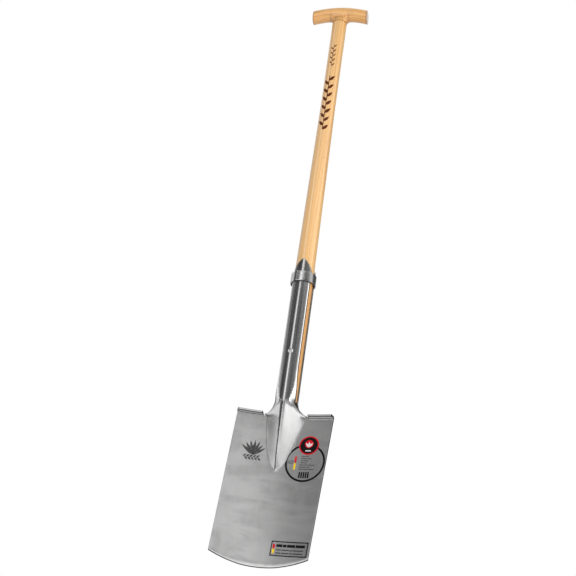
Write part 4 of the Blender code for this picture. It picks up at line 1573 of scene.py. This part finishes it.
CAMERA_AZIMUTH = radians(14.02)
CAMERA_ELEVATION = radians(-22.68)
CAMERA_ROLL = radians(8.04)
CAMERA_DISTANCE = 2.05803
CAMERA_AIM = (-0.01678, -0.0243)
CAMERA_FOCUS_PIXELS = 1082.0
PICTURE_SIDE = 576.0
SENSOR = 36.0
AIM_HEIGHT = 0.300
STUDIO_CENTRE = Vector((0.0, 0.0, 0.50))
FLOOR_HEIGHT = -1.7
FLOOR_RADIUS = 14.0
CARD_STEPS = 12
SEEN_WHITE = 1.0
LIGHT_WHITE = 0.55

# Lamps: azimuth and elevation in degrees, distance, width and height in metres, brightness, seen in metal
LAMPS = {
    "front_light": (30, -4, 3.0, 1.3, 1.3, 9.6, False),
    "side_light": (84, 16, 2.6, 0.9, 2.4, 0.8, True),
}

# Cards: first and last azimuth, low and high elevation in degrees, distance in metres, brightness
CARDS = {
    "left_card": (-72, -22, 7, 24, 8.0, 0.05),
    "strap_card": (-22, -7, 7, 23, 8.0, 1.5),
    "right_card": (-7, 60, 7, 24, 8.0, 0.05),
    "upper_left_card": (-95, -12, 24, 80, 8.2, 0.26),
    "upper_right_card": (-12, 60, 24, 35, 8.2, 1.04),
    "top_right_card": (-12, 60, 35, 80, 8.3, 0.26),
    "far_left_card": (-150, -72, -14, 36, 3.3, 0.76),
    "far_right_card": (104, 160, -14, 55, 3.3, 0.16),
}


def direction(azimuth, elevation):
    """The way out from the middle, with the azimuth from the front round to the right."""
    return Vector((sin(azimuth) * cos(elevation), -cos(azimuth) * cos(elevation), sin(elevation)))


def make_camera():
    """The photograph's camera: turned about its own axis, and aimed a little off the spade."""
    back = direction(CAMERA_AZIMUTH, CAMERA_ELEVATION)
    ahead = -back
    right = ahead.cross(Vector((0.0, 0.0, 1.0))).normalized()
    up = right.cross(ahead)
    rolled_right = right * cos(CAMERA_ROLL) + up * sin(CAMERA_ROLL)
    rolled_up = up * cos(CAMERA_ROLL) - right * sin(CAMERA_ROLL)
    aim = (ahead + rolled_right * CAMERA_AIM[0] + rolled_up * CAMERA_AIM[1]).normalized()
    side = (rolled_right - aim * rolled_right.dot(aim)).normalized()
    top = side.cross(aim)
    spot = Vector((0.0, 0.0, AIM_HEIGHT)) + back * CAMERA_DISTANCE + STAND
    data = bpy.data.cameras.new("camera")
    data.sensor_width = SENSOR
    data.lens = CAMERA_FOCUS_PIXELS * SENSOR / PICTURE_SIDE
    camera = bpy.data.objects.new("camera", data)
    bpy.context.scene.collection.objects.link(camera)
    place_matrix = Matrix((side, top, -aim)).transposed().to_4x4()
    place_matrix.translation = spot
    camera.matrix_world = place_matrix
    bpy.context.scene.camera = camera


def lamp(name, azimuth, elevation, distance, width, height, radiance, in_metal):
    """A rectangular lamp that faces the studio's centre."""
    data = bpy.data.lights.new(name, "AREA")
    data.shape = "RECTANGLE"
    data.size = width
    data.size_y = height
    data.energy = radiance * pi * width * height
    made = bpy.data.objects.new(name, data)
    bpy.context.scene.collection.objects.link(made)
    towards = direction(radians(azimuth), radians(elevation))
    made.location = STUDIO_CENTRE + towards * distance
    made.rotation_mode = "QUATERNION"
    made.rotation_quaternion = towards.to_track_quat("Z", "Y")
    made.visible_glossy = in_metal


def card(name, first, last, low, high, distance, level):
    """A matt card that only the metal and the lacquer see, bent round the studio's centre."""
    bm = bmesh.new()
    turns = [radians(first + (last - first) * i / CARD_STEPS) for i in range(CARD_STEPS + 1)]
    rows = []
    for elevation in (low, high):
        up = tan(radians(elevation)) * distance
        rows.append(add_row(bm, [
            STUDIO_CENTRE + Vector((sin(turn) * distance, -cos(turn) * distance, up)) for turn in turns]))
    join_rows(bm, rows[0], rows[1])
    mesh = mesh_of(bm, name)
    made, tree, shader = shader_of(name)
    shader.inputs["Base Color"].default_value = (0.0, 0.0, 0.0, 1.0)
    shader.inputs["Specular IOR Level"].default_value = 0.0
    shader.inputs["Emission Color"].default_value = (1.0, 1.0, 1.0, 1.0)
    shader.inputs["Emission Strength"].default_value = level
    mesh.materials.append(made)
    panel = draft(mesh, name)
    panel.visible_camera = False
    panel.visible_diffuse = False
    panel.visible_shadow = False


def make_world():
    """White where it is seen, in glass or in metal, and gentler as light."""
    world = bpy.data.worlds.new("studio")
    bpy.context.scene.world = world
    world.use_nodes = True
    tree = world.node_tree
    back = tree.nodes["Background"]
    back.inputs["Color"].default_value = (1.0, 1.0, 1.0, 1.0)
    path = place(tree, "ShaderNodeLightPath")
    seen = maths(tree, "MAXIMUM", path.outputs["Is Camera Ray"], path.outputs["Is Glossy Ray"])
    seen = maths(tree, "MAXIMUM", seen, path.outputs["Is Transmission Ray"])
    strength = maths(tree, "MULTIPLY_ADD", seen, SEEN_WHITE - LIGHT_WHITE, LIGHT_WHITE)
    tree.links.new(strength, back.inputs["Strength"])


def make_floor():
    """A plain pale floor, well below the camera."""
    bm = bmesh.new()
    bmesh.ops.create_circle(bm, cap_ends=True, segments=96, radius=FLOOR_RADIUS,
                            matrix=Matrix.Translation((0.0, 0.0, FLOOR_HEIGHT)))
    mesh = mesh_of(bm, "floor")
    made, tree, shader = shader_of("pale_floor")
    mottle = noise(tree, stretched(tree, (1.0, 1.0, 1.0)), 1.5, 2.0)
    tree.links.new(mixed(tree, mottle, (0.90, 0.90, 0.90), (0.93, 0.93, 0.93)), shader.inputs["Base Color"])
    shader.inputs["Roughness"].default_value = 0.9
    mesh.materials.append(made)
    draft(mesh, "floor")


def make_studio():
    make_world()
    make_floor()
    for name, sizes in LAMPS.items():
        lamp(name, *sizes)
    for name, sizes in CARDS.items():
        card(name, *sizes)
    bpy.context.scene.view_settings.view_transform = "Standard"


# Making everything

def main():
    steel = steel_of_blade()
    band = polished_steel("bright_steel", 0.50, 0.95, 0.22, 0.29, 0.0002, 140.0, painted_reflections=True)
    polished = polished_steel("rivet_steel", 0.86, 0.92, 0.16, 0.22, 0.0001)
    strap_back = polished_steel("strap_steel", 0.34, 0.46, 0.24, 0.34, 0.0003)
    # The shaft's wood, with painted shade between the straps
    shaft_wood = lacquered_ash("shaft_ash", 2, (0.0, 0.0, 0.5), (0.93, 0.575, 0.245), (0.83, 0.46, 0.145),
                               (0.62, 0.29, 0.085), strap_shade=(0.92, 0.66, 0.42))
    grip_wood = lacquered_ash("grip_ash", 0, (0.0, 0.0, 1.2), (0.92, 0.54, 0.215), (0.82, 0.43, 0.130),
                              (0.50, 0.22, 0.065), ends=(0.46, 0.19, 0.055))
    wedge_wood = end_grain("wedge_wood")

    blade = piece_from_mesh(make_blade(), "spade_blade", steel)
    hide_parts("blade")
    rear = piece_from_mesh(make_rear_strap(), "back_strap", strap_back)
    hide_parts("rear_strap")
    ring = piece_from_mesh(make_ring(), "driven_ring", band)
    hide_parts("retaining_ring")
    rivet = piece_from_mesh(make_rivet(), "domed_rivet", polished)
    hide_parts("strap_rivet")
    shaft = piece_from_mesh(make_shaft(shaft_wood), "turned_shaft", shaft_wood)
    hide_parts("shaft")
    grip = piece_from_mesh(make_grip(), "cross_grip", grip_wood)
    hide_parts("t_grip")
    wedge = piece_from_mesh(make_wedge(), "tenon_wedge", wedge_wood)
    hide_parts("grip_wedge")

    black = coloured("print_black", (0.004, 0.004, 0.0045), (0.012, 0.012, 0.013))
    soft_black = coloured("print_grey", (0.045, 0.045, 0.047), (0.085, 0.085, 0.088))
    red = coloured("print_red", (0.64, 0.012, 0.022), (0.52, 0.010, 0.018))
    yellow = coloured("print_yellow", (0.90, 0.62, 0.020), (0.80, 0.52, 0.020))
    pale = coloured("print_pale", (0.78, 0.76, 0.75), (0.62, 0.60, 0.60))
    etched = coloured("etched_steel", (0.030, 0.030, 0.032), (0.17, 0.17, 0.175))
    burnt = coloured("burnt_ash", (0.085, 0.018, 0.006), (0.19, 0.050, 0.016))
    light_burnt = coloured("light_burnt_ash", (0.16, 0.055, 0.025), (0.30, 0.12, 0.050))
    film = polished_steel("label_film", 0.66, 0.76, 0.27, 0.34, 0.00002)
    pattern = leaf_row_tree(etched)
    lay(draw_etching(pattern), "leaf_etching", etched, FILM_LIFT)
    lay(draw_films(), "label_films", film, FILM_LIFT)
    lay(draw_black(), "label_black", black)
    lay(draw_thin_lines(), "label_lines", soft_black)
    lay(draw_bars(RED_BLOCKS), "label_red", red)
    lay(draw_bars(YELLOW_BLOCKS), "label_yellow", yellow)
    lay(draw_roundel(0.0, ROUNDEL_RADIUS), "roundel_black", black, PRINT_LIFT + LAYER)
    lay(draw_roundel(ROUNDEL_RADIUS, ROUNDEL_RIM_RADIUS), "roundel_rim", red, PRINT_LIFT + LAYER)
    lay(draw_roundel(0.0, ROUNDEL_DISC_RADIUS, ROUNDEL_DISC_DROP), "roundel_red", red,
        PRINT_LIFT + 2 * LAYER)
    lay(draw_roundel_leaf(pattern), "roundel_leaf", pale, PRINT_LIFT + 3 * LAYER)
    long_sprig = draw_sprig(pattern, low=0.580, height=0.136, leaves=13, length=0.0168, width=0.0064,
                            stem=0.0014, seed=7)
    lay(long_sprig, "long_sprig", burnt, FILM_LIFT, shaft_front)
    short_sprig = draw_sprig(pattern, low=0.729, height=0.058, leaves=9, length=0.0098, width=0.0031,
                             stem=0.0009, seed=9)
    lay(short_sprig, "short_sprig", light_burnt, FILM_LIFT, shaft_front)

    make_studio()
    make_camera()


main()
